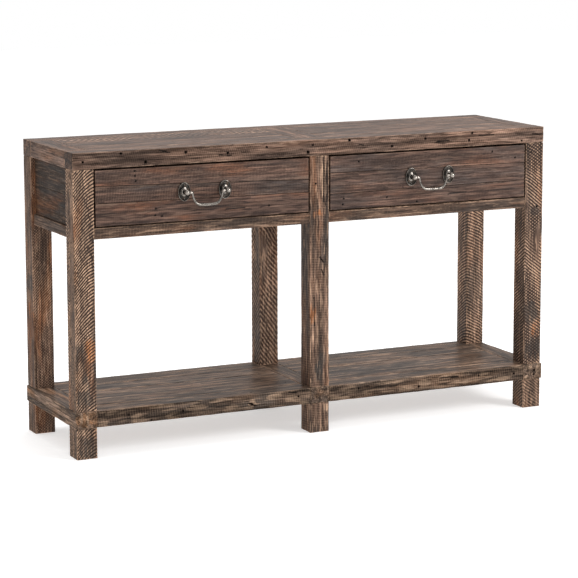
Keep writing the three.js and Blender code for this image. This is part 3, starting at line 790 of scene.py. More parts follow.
def wire_board(graph: Graph, given: dict[str, Any]) -> dict[str, Any]:
    """Wires a board: a fine grid on a box, its arrises rounded unevenly, its faces sawn and worn."""
    size, cell, seed = given["Size"], given["Cell"], given["Seed"]
    cells = graph.vector("CEIL", graph.vector("DIVIDE", size, graph.alike(cell)))
    counts = graph.vector("ADD", cells, (1, 1, 1))
    grid = graph.add("GeometryNodeMeshCube", size, *graph.split(counts)).outputs["Mesh"]
    half = graph.vector("SCALE", size)
    half.node.inputs["Scale"].default_value = 0.5

    start = graph.add("GeometryNodeInputPosition").outputs[0]
    sign = graph.vector("SIGN", start)
    inset = graph.vector("SUBTRACT", half, graph.vector("ABSOLUTE", start))
    crowd = graph.times(cell, 3.0)
    reach = graph.vector("MINIMUM", graph.alike(crowd), half)
    ease = graph.vector("MINIMUM", graph.vector("DIVIDE", inset, reach), (1, 1, 1))
    inset = graph.vector("MULTIPLY", inset, ease)
    spread = graph.vector("SUBTRACT", half, inset)
    place = graph.vector("MULTIPLY", spread, sign)

    spot = shifted(graph, place, seed)
    chips = graph.noise(spot, (28.0, 40.0, 40.0), 3.0)
    radius = graph.times(given["Edge Radius"], graph.between(graph.step(chips, 0.3, 0.75), 0.6, 1.6))
    core = graph.vector("SUBTRACT", half, graph.alike(radius))
    over = graph.vector("MAXIMUM", graph.vector("SUBTRACT", spread, core), (0, 0, 0))
    out = graph.vector("NORMALIZE", over)
    arc = graph.vector("MULTIPLY", out, graph.alike(radius))
    rounded = graph.vector("ADD", graph.vector("MINIMUM", spread, core), arc)

    ridges, cover = saw_ridges(graph, place, seed, given["Marks"], given["Cross"])
    cuts = graph.times(graph.flip(ridges), cover)
    sawn = graph.times(cuts, given["Saw Depth"])
    swell = graph.times(graph.noise(spot, (5.0, 18.0, 18.0), 2.0), given["Warp"])
    dents = graph.step(graph.noise(spot, (34.0, 60.0, 60.0), 2.0), 0.62, 0.8)
    dented = graph.times(dents, given["Dent"])
    side = graph.flip(graph.math("POWER", graph.split(out)[0], 2.0))
    depth = graph.times(graph.plus(graph.plus(sawn, swell), dented), side)
    sunk = graph.vector("SUBTRACT", rounded, graph.vector("MULTIPLY", out, graph.alike(depth)))
    final = graph.vector("MULTIPLY", sunk, sign)

    shaped = graph.add("GeometryNodeSetPosition", grid)
    graph.feed(shaped.inputs["Position"], final)
    return {"Geometry": dressed_end(graph, shaped.outputs[0], given["Material"])}


ROUGH_BOARD = GroupMaker(
    "rough_board",
    {
        "Size": "Vector", "Cell": "Float", "Edge Radius": "Float", "Marks": "Vector", "Cross": "Float",
        "Saw Depth": "Float", "Warp": "Float", "Dent": "Float", "Seed": "Float", "Material": "Material",
    },
    ("Geometry",), wire_board, kind="GeometryNodeTree",
)


@dataclass(frozen=True)
class SawMarks:
    """What a saw left on a board.

    The marks lean by a slope and curve by a bow, one every pitch; a second set may cross them. Pitch and
    depth are in millimetres. How strongly they show in the finish is separate from their depth.
    """

    slope: float = 0.9
    bow: float = 1.5
    pitch: float = 8.5
    cross: float = 0.0
    depth: float = 0.0
    show: float = 0.25

    @property
    def line(self) -> Triple:
        """Slope, bow and pitch, as the node groups take them."""
        return self.slope, self.bow, self.pitch * MM


PLANED = SawMarks(pitch=6.0, slope=0.15, show=0.1)


@dataclass
class Board:
    """One board of the table, in its finish, with its own marks.

    Cell, edge, warp, dent and gap are in millimetres: the mesh's grid, the arris, how far the faces stray
    and are dented, and what a glue line takes off. Tone is the board's brightness. A painted light gradient
    multiplies it by a given factor at the far end of the board, with some real change of tone along it. On
    faces that look up a given tone, unless 0, replaces it: painted sheen and light, lighter than the sides.
    Skew tilts the bottom and top edges of a board on edge, in metres. A board with an empty stands_for takes
    no CAD node's place.
    """

    name: str
    place: Block
    lie: Lie
    finish: TimberFinish
    seed: float
    stands_for: str
    body: str = "frame"
    saw: SawMarks = PLANED
    cell: float = 3.0
    edge: float = 1.6
    warp: float = 0.5
    dent: float = 0.25
    tone: float = 1.0
    # Painted light gradient, with some real change of tone: the tone's factor at the board's far end.
    fade: float = 1.0
    # Painted sheen and light: the tone of faces that look up, unless 0.
    upper: float = 0.0
    warmth: float = 0.5
    greyness: float = 0.5
    worn: float = 0.8
    gap: float = GLUE_LINE
    skew: tuple[float, float] = (0.0, 0.0)
    marks: Sequence[Nail | Crack] = field(default_factory=tuple)
    blotches: Sequence[Blotch] = field(default_factory=tuple)

    def build(self) -> bpy.types.Object:
        """Makes the board, in place, dressed and riding on its body.

        Returns:
            The finished piece.
        """
        mesh = self._blank()
        mesh.transform(Matrix.Translation(self.place.centre) @ self.lie.turn.to_4x4())
        if any(self.skew):
            self._taper(mesh)
        if self.marks:
            mesh = cut_or_join(mesh, self._cutters(), "DIFFERENCE")
        self._note(mesh)
        name = f"{self.name}_timber" if self.name == self.stands_for else self.name
        mesh.name = name
        mesh.shade_smooth()
        mesh.set_sharp_from_angle(angle=math.radians(50))
        piece = mesh_object(name, mesh)
        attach(piece, self.body)
        if self.stands_for:
            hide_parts(self.stands_for)
        LOG.info("%s: %d faces on %s", name, len(mesh.polygons), self.body)
        return piece

    def _taper(self, mesh: bpy.types.Mesh) -> None:
        """Tilts the lower and upper edges of a board on edge, each by its own rise over the length."""
        points = vertex_places(mesh)
        along = (points[:, 0] - self.place.centre.x) / self.place.size.x
        up = np.clip((points[:, 2] - self.place.low[2]) / self.place.size.z, 0.0, 1.0)
        points[:, 2] += along * (self.skew[0] * (1.0 - up) + self.skew[1] * up)
        mesh.vertices.foreach_set("co", points.ravel())

    def _own_size(self) -> Vector:
        """Returns the board's length, width and thickness, less its share of the glue lines."""
        size = self.lie.turn.transposed() @ self.place.size
        return Vector([abs(value) - 2 * self.gap * MM for value in size])

    def _blank(self) -> bpy.types.Mesh:
        """Returns the sawn board on its own axes, centred."""
        return nodes_mesh(ROUGH_BOARD.tree(), {
            "Size": tuple(self._own_size()),
            "Cell": self.cell * MM,
            "Edge Radius": self.edge * MM,
            "Marks": self.saw.line,
            "Cross": self.saw.cross,
            "Saw Depth": self.saw.depth * MM,
            "Warp": self.warp * MM,
            "Dent": self.dent * MM,
            "Seed": self.seed,
            "Material": self.finish.material(),
        })

    def _cutters(self) -> bpy.types.Mesh:
        """Returns one mesh of all the holes and cracks to cut."""
        tool = bmesh.new()
        chance = np.random.default_rng(int(self.seed * 100))
        for mark in self.marks:
            if isinstance(mark, Nail):
                add_nail_cutter(tool, mark, self.place, chance)
            else:
                add_crack_cutter(tool, mark, self.place, chance)
        mesh = closed_mesh("cutters", tool)
        mesh.materials.append(self.finish.material())
        return mesh

    def _note(self, mesh: bpy.types.Mesh) -> None:
        """Writes the attributes that the finish reads.

        Args:
            mesh: The board in the row frame.
        """
        world = vertex_places(mesh)
        count = len(world)
        turn = np.array(self.lie.turn.transposed())
        own = (world - np.array(self.place.centre)) @ turn.T
        half = np.array(self._own_size()) / 2
        gaps = np.sort(half - np.abs(own), axis=1)
        normals = np.empty(count * 3, np.float32)
        mesh.vertex_normals.foreach_get("vector", normals)
        normals = normals.reshape(-1, 3)
        along = np.abs(normals @ turn.T[:, 0])
        run = own[:, 0] / (2 * half[0]) + 0.5
        look = np.tile((self.tone, self.warmth, self.saw.show), (count, 1))
        # Painted light gradient along the board.
        look[:, 0] *= 1.0 + (self.fade - 1.0) * run
        topside = np.clip(normals[:, 2], 0.0, 1.0) ** 2
        # Painted sheen and light on faces that look up.
        if self.upper:
            look[:, 0] += (self.upper - look[:, 0]) * topside
        set_attribute(mesh, "place", own)
        set_attribute(mesh, "seed", np.full(count, self.seed))
        set_attribute(mesh, "edge", np.maximum(gaps[:, 1], 0.0))
        set_attribute(mesh, "end_grain", np.clip((along - 0.6) / 0.3, 0.0, 1.0))
        set_attribute(mesh, "pit", self._hole_stain_and_shade_shares(world))
        set_attribute(mesh, "blotches", self._blotches(world))
        set_attribute(mesh, "topside", topside)
        set_attribute(mesh, "look", look)
        set_attribute(mesh, "marks", np.tile(self.saw.line, (count, 1)))
        set_attribute(mesh, "habit", np.tile((self.saw.cross, self.greyness, self.worn), (count, 1)))

    def _blotches(self, world: np.ndarray) -> np.ndarray:
        """Returns how strongly each placed patch colours each vertex, a column for each hue."""
        shares = np.zeros((len(world), len(Hue)))
        for blotch in self.blotches:
            axis, way = blotch.face.value
            off = world - np.array(on_face(blotch.face, blotch.at, self.place))
            others = [i for i in range(3) if i != axis]
            apart = off[:, others] / (np.array(blotch.size) * MM / 2)
            depth = np.clip(1.0 + way * off[:, axis] / (12 * MM), 0.0, 1.0)
            share = np.exp(-(apart ** 2).sum(axis=1)) * depth * blotch.strength
            column = blotch.hue.value
            shares[:, column] = np.maximum(shares[:, column], share)
        return shares

    def _hole_stain_and_shade_shares(self, world: np.ndarray) -> np.ndarray:
        """Returns how black each vertex is: painted shade inside the nail holes and cracks, and a dark rim
        round each, the iron stain of the nails.
        """
        pits = np.zeros(len(world))
        for mark in self.marks:
            axis, way = mark.face.value
            ends = (mark.at, mark.at) if isinstance(mark, Nail) else (mark.start, mark.end)
            start, finish = (np.array(on_face(mark.face, end, self.place)) for end in ends)
            run = finish - start
            share = np.clip((world - start) @ run / max(run @ run, 1e-12), 0.0, 1.0)
            off = world - start - share[:, None] * run
            sunk = -way * off[:, axis]
            off[:, axis] = 0.0
            near = np.linalg.norm(off, axis=1) - mark.width * MM / 2
            # Full black inside a hole or crack is painted shade; the halo is the dark rim on the face round
            # it.
            inside = (sunk > 0.4 * MM) & (sunk < (mark.depth + 1.5) * MM) & (near < 0.9 * MM)
            halo = np.clip(1.0 - near / (1.1 * MM), 0.0, 1.0) * (sunk < 0.9 * MM) * (sunk > -MM) * 0.75
            pits = np.maximum(pits, np.where(inside, 1.0, halo))
        return pits


def vertex_places(mesh: bpy.types.Mesh) -> np.ndarray:
    """Returns the places of a mesh's vertices, a row for each."""
    places = np.empty(len(mesh.vertices) * 3, np.float32)
    mesh.vertices.foreach_get("co", places)
    return places.reshape(-1, 3)


def set_attribute(mesh: bpy.types.Mesh, name: str, values: np.ndarray) -> None:
    """Stores one number or one vector for each vertex."""
    flat = values.ndim == 1
    layer = mesh.attributes.new(name, "FLOAT" if flat else "FLOAT_VECTOR", "POINT")
    layer.data.foreach_set("value" if flat else "vector", values.astype(np.float32).ravel())


def closed_mesh(name: str, shape: bmesh.types.BMesh) -> bpy.types.Mesh:
    """Turns the faces of a closed shape outwards and returns it as a mesh. The shape is used up."""
    bmesh.ops.recalc_face_normals(shape, faces=shape.faces)
    mesh = bpy.data.meshes.new(name)
    shape.to_mesh(mesh)
    shape.free()
    return mesh


def add_ring_solid(shape: bmesh.types.BMesh, rings: Sequence[Sequence[Vector]]) -> None:
    """Adds a closed solid through rings of points.

    Args:
        shape: The mesh to add to.
        rings: Rings with the same number of points, from one end to the other.
    """
    made = [[shape.verts.new(point) for point in ring] for ring in rings]
    count = len(made[0])
    for low, high in zip(made, made[1:]):
        for i in range(count):
            j = (i + 1) % count
            shape.faces.new((low[i], low[j], high[j], high[i]))
    shape.faces.new(list(reversed(made[0])))
    shape.faces.new(made[-1])


def add_nail_cutter(tool: bmesh.types.BMesh, nail: Nail, place: Block, chance: np.random.Generator) -> None:
    """Adds a slightly crooked, squarish hole."""
    turn = nail.face.frame()
    top = on_face(nail.face, nail.at, place)
    lean = Vector((*chance.uniform(-0.12, 0.12, 2), 1.0))
    spins = np.arange(9) / 9 * math.tau
    ragged = chance.uniform(0.82, 1.15, 9) * nail.width * MM / 2
    rings = []
    for height, share in ((-nail.depth * MM, 0.7), (-0.8 * MM, 1.0), (1.5 * MM, 1.15)):
        centre = lean * height
        rings.append([
            top + turn @ (centre + Vector((math.cos(a), math.sin(a), 0)) * (r * share))
            for a, r in zip(spins, ragged)
        ])
    add_ring_solid(tool, rings)


def add_crack_cutter(
    tool: bmesh.types.BMesh, crack: Crack, place: Block, chance: np.random.Generator,
) -> None:
    """Adds a long wedge that wavers, widest in its middle and deepest there too."""
    turn = crack.face.frame()
    start, end = on_face(crack.face, crack.start, place), on_face(crack.face, crack.end, place)
    out = turn @ Vector((0, 0, 1))
    run = end - start
    aside = out.cross(run).normalized()
    steps = max(4, int(run.length / (5 * MM)))
    rings = []
    for i in range(steps + 1):
        share = i / steps
        swell = 0.12 + 0.88 * math.sin(math.pi * share) ** 0.7
        half = crack.width * MM / 2 * swell * chance.uniform(0.75, 1.2)
        middle = start + run * share + aside * (chance.uniform(-0.35, 0.35) * crack.width * MM)
        rings.append([
            middle + out * (1.5 * MM) - aside * (half * 1.3),
            middle + out * (1.5 * MM) + aside * (half * 1.3),
            middle - out * (crack.depth * MM * swell),
        ])
    add_ring_solid(tool, rings)


# ------------------------------------------------------------------------------------------------
# Sub-assemblies
# ------------------------------------------------------------------------------------------------

SIDES = ("left", "right")
COLUMNS = ("left", "centre", "right")


@dataclass(frozen=True)
class Levels:
    """Lines of the frame that several sub-assemblies meet."""

    top_under: float
    shelf_top: float
    rail_top: float
    leg_front_inner: float
    leg_back_inner: float
    bays: dict[str, tuple[float, float]]

    @classmethod
    def of_frame(cls) -> Levels:
        """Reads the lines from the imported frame."""
        front, back = Block.of("leg_front_left"), Block.of("leg_back_left")
        centre, right = Block.of("leg_front_centre"), Block.of("leg_front_right")
        return cls(
            top_under=Block.of("top_front_border").low[2],
            shelf_top=Block.of("shelf_cross_left").high[2],
            rail_top=Block.of("front_rail_left").high[2],
            leg_front_inner=front.high[1],
            leg_back_inner=back.low[1],
            bays={"left": (front.high[0], centre.low[0]), "right": (centre.high[0], right.low[0])},
        )


@dataclass
class Legs:
    """The six upper legs and the six feet under the shelf."""

    levels: Levels
    cell: float = 2.2
    edge: float = 1.5

    def looks(self) -> dict[str, dict[str, Any]]:
        """Returns what is special about each leg and foot."""
        front, left = Face.FRONT, Face.LEFT
        arcs = SawMarks(slope=-0.4, bow=8.5, pitch=9, depth=0.6, show=1.0)
        hatched = SawMarks(slope=0.72, bow=1.0, pitch=9, cross=1.0, depth=0.5, show=0.9)
        lattice = SawMarks(slope=-0.9, bow=2.0, pitch=8, cross=0.7, depth=0.35, show=0.5)
        steep = SawMarks(slope=1.35, bow=1.0, pitch=15, depth=0.6, show=0.6)
        combed = SawMarks(slope=0.8, bow=4.0, pitch=9, depth=0.4, show=0.7)
        smooth = SawMarks(slope=0.1, bow=0.3, pitch=7, depth=0.12, show=0.12)
        return {
            "leg_front_left": dict(
                saw=arcs, warmth=0.5, greyness=0.3, tone=1.12, worn=1.0, cell=1.5,
                blotches=patches(
                    front, warm=((-672, 292, 34, 70),),
                    grey=((-700, 268, 44, 90), (-672, 215, 70, 90), (-684, 165, 80, 50)),
                    pale=((-697, 246, 14, 40), (-688, 196, 22, 26, 0.9)),
                ),
            ),
            "foot_front_left": dict(
                saw=replace(arcs, show=0.9), warmth=0.3, greyness=1.0, tone=0.98, cell=1.6,
                blotches=patches(front, pale=((-696, 72, 46, 18, 1.1),), grey=((-676, 30, 60, 60),)),
            ),
            "leg_front_centre": dict(
                saw=smooth, warmth=0.35, greyness=0.8, tone=1.03, worn=1.0,
                marks=(
                    *cracks(
                        front, (1, 489, 12, 474, 3.0, 6.0), (6, 455, 13, 438, 2.6, 5.0),
                        (12, 764, 13, 640, 1.6, 3.0), (22, 750, 23, 640, 1.4, 3.0),
                        (-17, 380, -15, 300, 0.9, 2.5),
                    ),
                    *nails(front, (-12, 692, 4.0)),
                ),
                blotches=patches(
                    front, warm=((2, 606, 60, 44, 0.55), (-22, 330, 22, 60, 1.1)),
                    grey=((10, 180, 60, 90, 1.2),),
                    pale=(
                        (8, 700, 5, 150, 1.1), (17, 705, 4, 140, 1.1), (-8, 405, 5, 90, 0.8),
                        (-20, 290, 4, 120, 0.8), (3, 385, 4, 110, 0.8), (-6, 262, 7, 110, 0.75),
                        (10, 330, 4, 120, 0.8), (24, 225, 4, 150, 0.85), (22, 420, 4, 120, 0.8),
                    ),
                ),
            ),
            "foot_front_centre": dict(
                saw=smooth, warmth=0.1, greyness=1.0, tone=0.98,
                blotches=(
                    *patches(front, pale=((20, 70, 14, 24, 1.3),)),
                    *patches(left, pale=((-170, 74, 20, 20, 1.2),)),
                ),
            ),
            "leg_front_right": dict(
                saw=hatched, warmth=0.35, greyness=0.35, tone=0.98, worn=1.0,
                marks=nails(front, (694, 585, 5.0), (672, 742, 3.6)),
                blotches=patches(
                    front, pale=((684, 395, 60, 130, 0.55),), warm=((694, 232, 36, 70, 0.75),),
                    grey=((672, 278, 60, 70, 1.4), (684, 175, 80, 70, 1.1), (688, 575, 50, 50, 0.8)),
                ),
            ),
            "foot_front_right": dict(
                saw=replace(hatched, cross=0.0, show=0.5), warmth=0.5, greyness=0.1, tone=0.95,
            ),
            "leg_back_left": dict(
                saw=lattice, warmth=0.6, greyness=0.1, tone=1.1,
                blotches=patches(left, grey=((172, 420, 60, 50, 1.2),), warm=((170, 300, 80, 180, 0.8),)),
            ),
            "leg_back_centre": dict(saw=steep, warmth=0.25, greyness=0.5, tone=1.15),
            "leg_back_right": dict(saw=combed, warmth=0.2, greyness=0.6, tone=1.38),
            "foot_back_left": dict(saw=lattice, warmth=0.6, greyness=0.4),
        }

    def boards(self) -> list[Board]:
        """Returns the twelve posts."""
        looks = self.looks()
        found = []
        for row, column, part in itertools.product(("front", "back"), COLUMNS, ("leg", "foot")):
            name = f"{part}_{row}_{column}"
            place = Block.of(name)
            if part == "leg":
                place = place.between(2, self.levels.shelf_top, self.levels.top_under)
            settings = {"saw": SawMarks(depth=0.3, show=0.5), "cell": self.cell, "edge": self.edge}
            settings.update(looks.get(name, {}))
            found.append(Board(
                name=name, place=place, lie=Lie.UPRIGHT, finish=FRAME_TIMBER, seed=1.0 + 0.37 * len(found),
                stands_for=name, **settings,
            ))
        return found


@dataclass
class Shelf:
    """The low shelf: cross boards at the legs, edge boards, and planks between them."""

    edge: float = 2.4

    def boards(self) -> list[Board]:
        """Returns the eleven boards."""
        found = []
        crosses = {column: Block.of(f"shelf_cross_{column}") for column in COLUMNS}
        sawn = SawMarks(slope=1.1, bow=0.5, pitch=9, cross=1.0, depth=0.45, show=0.55)
        rough = SawMarks(slope=0.2, bow=1.0, pitch=7, depth=0.25, show=0.22)
        for column, place in crosses.items():
            found.append(self._board(
                f"shelf_cross_{column}", place, Lie.FLAT_ACROSS, 8.0 + 0.41 * len(found),
                saw=SawMarks(pitch=7, depth=0.2, show=0.3), **self._end_look(column),
            ))
        for side, first, last in zip(SIDES, COLUMNS, COLUMNS[1:]):
            front, near, far, back = (
                Block.of(f"shelf_{part}_{side}").between(0, crosses[first].high[0], crosses[last].low[0])
                for part in ("front_board", "plank_front", "plank_rear", "back_board")
            )
            # Dark front face with a lighter top face: painted sheen and light.
            edge_look = dict(
                saw=rough, worn=1.0, tone=0.57, upper=1.15, marks=self._front_marks(side),
                blotches=self._front_blotches(side),
            )
            for part, place, look in (
                ("front_board", front, edge_look),
                ("plank_front", near.between(1, front.high[1], near.high[1]), self._plank_look(side)),
                ("plank_rear", far.between(1, far.low[1], back.low[1]), dict(tone=1.15)),
                ("back_board", back, dict(saw=sawn, tone=1.1)),
            ):
                found.append(self._board(
                    f"shelf_{part}_{side}", place, Lie.FLAT, 12.0 + 0.53 * len(found), greyness=0.9,
                    warmth=0.35,
                    **look,
                ))
        return found

    def _board(self, name: str, place: Block, lie: Lie, seed: float, **look: Any) -> Board:
        """Returns one board in the shelf's finish."""
        return Board(
            name=name, place=place, lie=lie, finish=SHELF_TIMBER, seed=seed, stands_for=name,
            edge=self.edge, **look,
        )

    def _end_look(self, column: str) -> dict[str, Any]:
        """Returns how a cross board and its end grain differ."""
        front = Face.FRONT
        if column == "left":
            return dict(
                warmth=0.8, greyness=0.1, tone=1.1,
                blotches=patches(
                    front, warm=((-690, 108, 60, 40, 1.0),),
                    pale=((-700, 112, 8, 40, 1.0), (-682, 110, 6, 44, 1.1)),
                ),
            )
        if column == "right":
            return dict(
                warmth=0.4, greyness=0.6, tone=1.05, marks=nails(front, (690, 109, 6.5), (689, 97, 5.5)),
                blotches=patches(
                    front, pale=((672, 118, 26, 12, 1.2), (703, 112, 18, 30, 1.1), (664, 92, 16, 10, 1.0)),
                ),
            )
        return dict(tone=0.95)

    def _front_marks(self, side: str) -> tuple[Nail | Crack, ...]:
        """Returns the old damage on a front board."""
        front = Face.FRONT
        if side == "left":
            return (
                *nails(front, (-566, 109), (-410, 103, 5.5), (-502, 88), (-66, 108, 4.5)),
                *cracks(front, (-216, 104, -196, 96, 4.0, 4.0), (-95, 122, -70, 120, 2.5, 5.0)),
                *nails(Face.TOP, (-200, -160)),
            )
        return (
            *nails(front, (120, 112), (310, 98, 5.0), (505, 110)),
            *cracks(front, (380, 116, 440, 114, 2.0, 4.0)),
            *nails(front, (622, 105, 5.5)),
        )

    def _front_blotches(self, side: str) -> tuple[Blotch, ...]:
        """Returns the chipped and flecked places along a front board."""
        places = {
            "left": (
                (-600, 118, 60, 14), (-540, 96, 40, 26), (-470, 122, 90, 8), (-440, 92, 50, 22),
                (-372, 108, 60, 20), (-300, 120, 80, 8), (-262, 94, 60, 20), (-206, 103, 26, 20),
                (-140, 114, 46, 14), (-82, 104, 50, 24), (-50, 88, 30, 12), (-640, 94, 30, 22),
            ),
            "right": (
                (60, 92, 60, 16), (92, 112, 44, 24), (150, 100, 40, 18), (215, 118, 90, 8),
                (262, 94, 60, 14), (330, 108, 36, 20), (398, 120, 90, 8), (450, 98, 70, 14),
                (520, 114, 50, 10), (585, 94, 60, 14), (632, 116, 40, 12),
            ),
        }
        return patches(Face.FRONT, pale=[(*place, 1.15) for place in places[side]])

    def _plank_look(self, side: str) -> dict[str, Any]:
        """Returns the brightness of a front plank, and the cracks and nails along it."""
        way = -1 if side == "left" else 1
        return dict(tone=1.3, marks=(
            *cracks(
                Face.TOP, (way * 210, -62, way * 420, -70, 1.6, 3.5),
                (way * 90, -20, way * 200, -14, 1.2, 3.0),
            ),
            *nails(Face.TOP, (way * 610, -20, 4.0), (way * 60, -85, 4.0)),
        ))


@dataclass
class Top:
    """The thick top: borders, cross boards, and planks laid between them."""

    edge: float = 2.0
    plank_lines: tuple[float, float] = (-38.0, 56.0)
    plank_tones: tuple[float, float, float] = (1.1, 0.92, 1.02)

    def boards(self) -> list[Board]:
        """Returns every board of the top."""
        front, back = Block.of("top_front_border"), Block.of("top_back_border")
        inner = (front.high[1], back.low[1])
        found = [
            # A dark front face, a painted light gradient brightening towards the right end, and painted sheen
            # on the top face.
            self._board(
                "top_front_border", front, Lie.ON_EDGE, 20.3, tone=0.56, fade=1.8, upper=1.1, warmth=0.15,
                marks=self._edge_marks(),
            ),
            self._board("top_back_border", back, Lie.ON_EDGE, 21.7, warmth=0.3),
        ]
        crosses = []
        for index, name in enumerate(("top_end_left", "top_centre_board", "top_end_right")):
            crosses.append(Block.of(name).between(1, *inner))
            found.append(self._board(
                name, crosses[-1], Lie.FLAT_ACROSS, 22.4 + index, warmth=0.3 if index else 0.9, tone=0.96,
            ))
        dashes = SawMarks(slope=-1.1, bow=0.0, pitch=22, depth=0.3, show=0.6)
        for side, first, last in zip(SIDES, crosses, crosses[1:]):
            name = f"top_panel_{side}"
            place = Block.of(name).between(0, first.high[0], last.low[0]).between(1, *inner)
            for index, plank in enumerate(place.sliced(1, [line * MM for line in self.plank_lines])):
                look = {"saw": dashes} if side == "left" and index == 2 else {}
                found.append(self._board(
                    f"top_plank_{side}_{index + 1}", plank, Lie.FLAT, 26.0 + 0.7 * len(found),
                    stands_for=name,
                    tone=self.plank_tones[index], **look,
                ))
        return found

    def _board(self, name: str, place: Block, lie: Lie, seed: float, **look: Any) -> Board:
        """Returns one board in the top's finish."""
        settings = dict(
            stands_for=name, edge=self.edge, greyness=0.5, warmth=0.25, worn=0.9,
            saw=SawMarks(pitch=6, slope=0.2, depth=0.1, show=0.15),
        )
        settings.update(look)
        return Board(name=name, place=place, lie=lie, finish=TOP_TIMBER, seed=seed, **settings)

    def _edge_marks(self) -> tuple[Nail | Crack, ...]:
        """Returns the nail holes and tears along the front edge."""
        holes = (
            (-684, 788, 4.5), (-578, 805, 4.5), (-509, 779, 5), (-394, 799, 5), (-273, 790, 4.5),
            (-158, 800, 4), (-35, 780, 5.5), (-20, 798, 3.6), (91, 806, 5), (223, 782, 5), (328, 798, 4),
            (468, 786, 4.5), (478, 806, 4), (640, 776, 3.6),
        )
        return (
            *nails(Face.FRONT, *((x, z, 1.35 * width) for x, z, width in holes)),
            *cracks(
                Face.FRONT, (-470, 808, -440, 800, 1.4, 3), (675, 794, 703, 791, 3.4, 3),
                (362, 787, 404, 790, 1.8, 3), (120, 792, 135, 790, 2, 3), (-300, 785, -262, 784, 0.9, 3),
                (500, 798, 548, 799, 0.8, 3),
            ),
        )


@dataclass
class Apron:
    """Rails and thin panels round the drawers."""

    levels: Levels
    # Depth and height of the dark strip behind each front rail, a painted shade, in millimetres.
    shade_strip: tuple[float, float] = (14.0, 12.0)

    def boards(self) -> list[Board]:
        """Returns every rail, painted-shade strip and panel plank."""
        levels = self.levels
        across = (levels.leg_front_inner, levels.leg_back_inner)
        found = []
        for side in SIDES:
            bay = levels.bays[side]
            for row in ("front", "back"):
                tone = 0.78 if side == "left" else 0.88
                name = f"{row}_rail_{side}"
                rail = Block.of(name).between(0, *bay)
                found.append(self._rail(
                    name, rail, Lie.ON_EDGE, 40.0, len(found), warmth=0.35, tone=tone, edge=0.9,
                ))
            found.append(self._shade_strip(side, 43.0 + len(found)))
            name = f"side_rail_{side}"
            rail = Block.of(name).between(1, *across)
            found.append(self._rail(name, rail, Lie.ON_EDGE_ACROSS, 45.0, len(found), warmth=0.6, tone=0.8))
            for name, axis, limits, lie, look in (
                (f"side_panel_{side}", 1, across, Lie.ON_EDGE_ACROSS, (0.52, 0.38, 0.95)),
                (f"back_panel_{side}", 0, bay, Lie.ON_EDGE, (0.45, 0.9, 0.5)),
            ):
                panel = Block.of(name).between(axis, *limits).between(2, levels.rail_top, levels.top_under)
                found += self._planks(name, panel, lie, *look)
        return found

    def _rail(self, name: str, place: Block, lie: Lie, seed: float, count: int, **look: Any) -> Board:
        """Returns one rail, its seed set by how many boards came before it."""
        return Board(
            name=name, place=place, lie=lie, finish=FRAME_TIMBER, seed=seed + 0.61 * count, stands_for=name,
            saw=SawMarks(slope=0.05, bow=0.4, pitch=4.2, depth=0.15, show=0.26), **look,
        )

    def _shade_strip(self, side: str, seed: float) -> Board:
        """Returns a dark softwood strip behind a front rail: painted shade in the gap under the drawer."""
        deep, tall = (value * MM for value in self.shade_strip)
        rail = Block.of(f"front_rail_{side}").between(0, *self.levels.bays[side])
        place = rail.between(1, rail.high[1], rail.high[1] + deep)
        place = place.between(2, rail.high[2] - tall, rail.high[2])
        # Tone 0.35 darkens the strip into painted shade.
        return Board(
            name=f"front_rail_{side}_shade_strip", place=place, lie=Lie.ON_EDGE, finish=SOFTWOOD, seed=seed,
            stands_for="", cell=6, edge=0.8, warp=0.1, dent=0.0, tone=0.35, worn=0.0,
        )

    def _planks(
        self, name: str, panel: Block, lie: Lie, seam: float, tone: float, warmth: float,
    ) -> list[Board]:
        """Splits a panel into two planks.

        Args:
            name: The panel's CAD node.
            panel: Its visible place.
            lie: How the planks lie.
            seam: Height of the seam, as a share of the panel's height.
            tone: Brightness.
            warmth: How much warm stain shows.

        Returns:
            The planks, from the bottom up.
        """
        own_seed = 3.0 if "right" in name else 0.0
        planks = panel.sliced(2, [panel.low[2] + seam * panel.size.z])
        return [
            Board(
                name=f"{name}_plank_{index + 1}", place=plank, lie=lie, finish=FRAME_TIMBER,
                seed=50.0 + 1.3 * index + len(name) * 0.77 + own_seed, stands_for=name, edge=1.0, tone=tone,
                warmth=warmth, cell=3.5,
                saw=SawMarks(slope=0.1, bow=0.6, pitch=4.5, depth=0.2, show=0.35),
            )
            for index, plank in enumerate(planks)
        ]


@dataclass
class Runners:
    """The hidden works between the legs that carry the drawers, sizes in millimetres."""

    levels: Levels
    bed_tall: float = 20.0
    bed_reach: float = 17.0
    clear: float = 1.0

    def boards(self) -> list[Board]:
        """Returns the beds, guides and divider."""
        found = []
        reach = self.bed_reach * MM + self.clear * MM
        for column in COLUMNS:
            node = f"runner_{column}"
            whole = Block.of(node)
            bed, guide = whole.sliced(2, [whole.low[2] + self.bed_tall * MM])
            low = whole.low[0] + (reach if column != "left" else 0.0)
            high = whole.high[0] - (reach if column != "right" else 0.0)
            for part, place in (("bed", bed), ("guide", guide.between(0, low, high))):
                found.append(self._plain(f"{node}_{part}", place, node, 60 + len(found)))
        across = (self.levels.leg_front_inner, self.levels.leg_back_inner)
        divider = Block.of("drawer_divider").between(1, *across)
        found.append(self._plain("drawer_divider_board", divider, "drawer_divider", 69))
        return found

    def _plain(self, name: str, place: Block, node: str, seed: float) -> Board:
        """Returns one plain softwood board."""
        return Board(
            name=name, place=place, lie=Lie.ON_EDGE_ACROSS, finish=SOFTWOOD, seed=seed, stands_for=node,
            cell=6,
            edge=1.2, warp=0.2, dent=0.0, worn=0.2, greyness=0.2,
        )


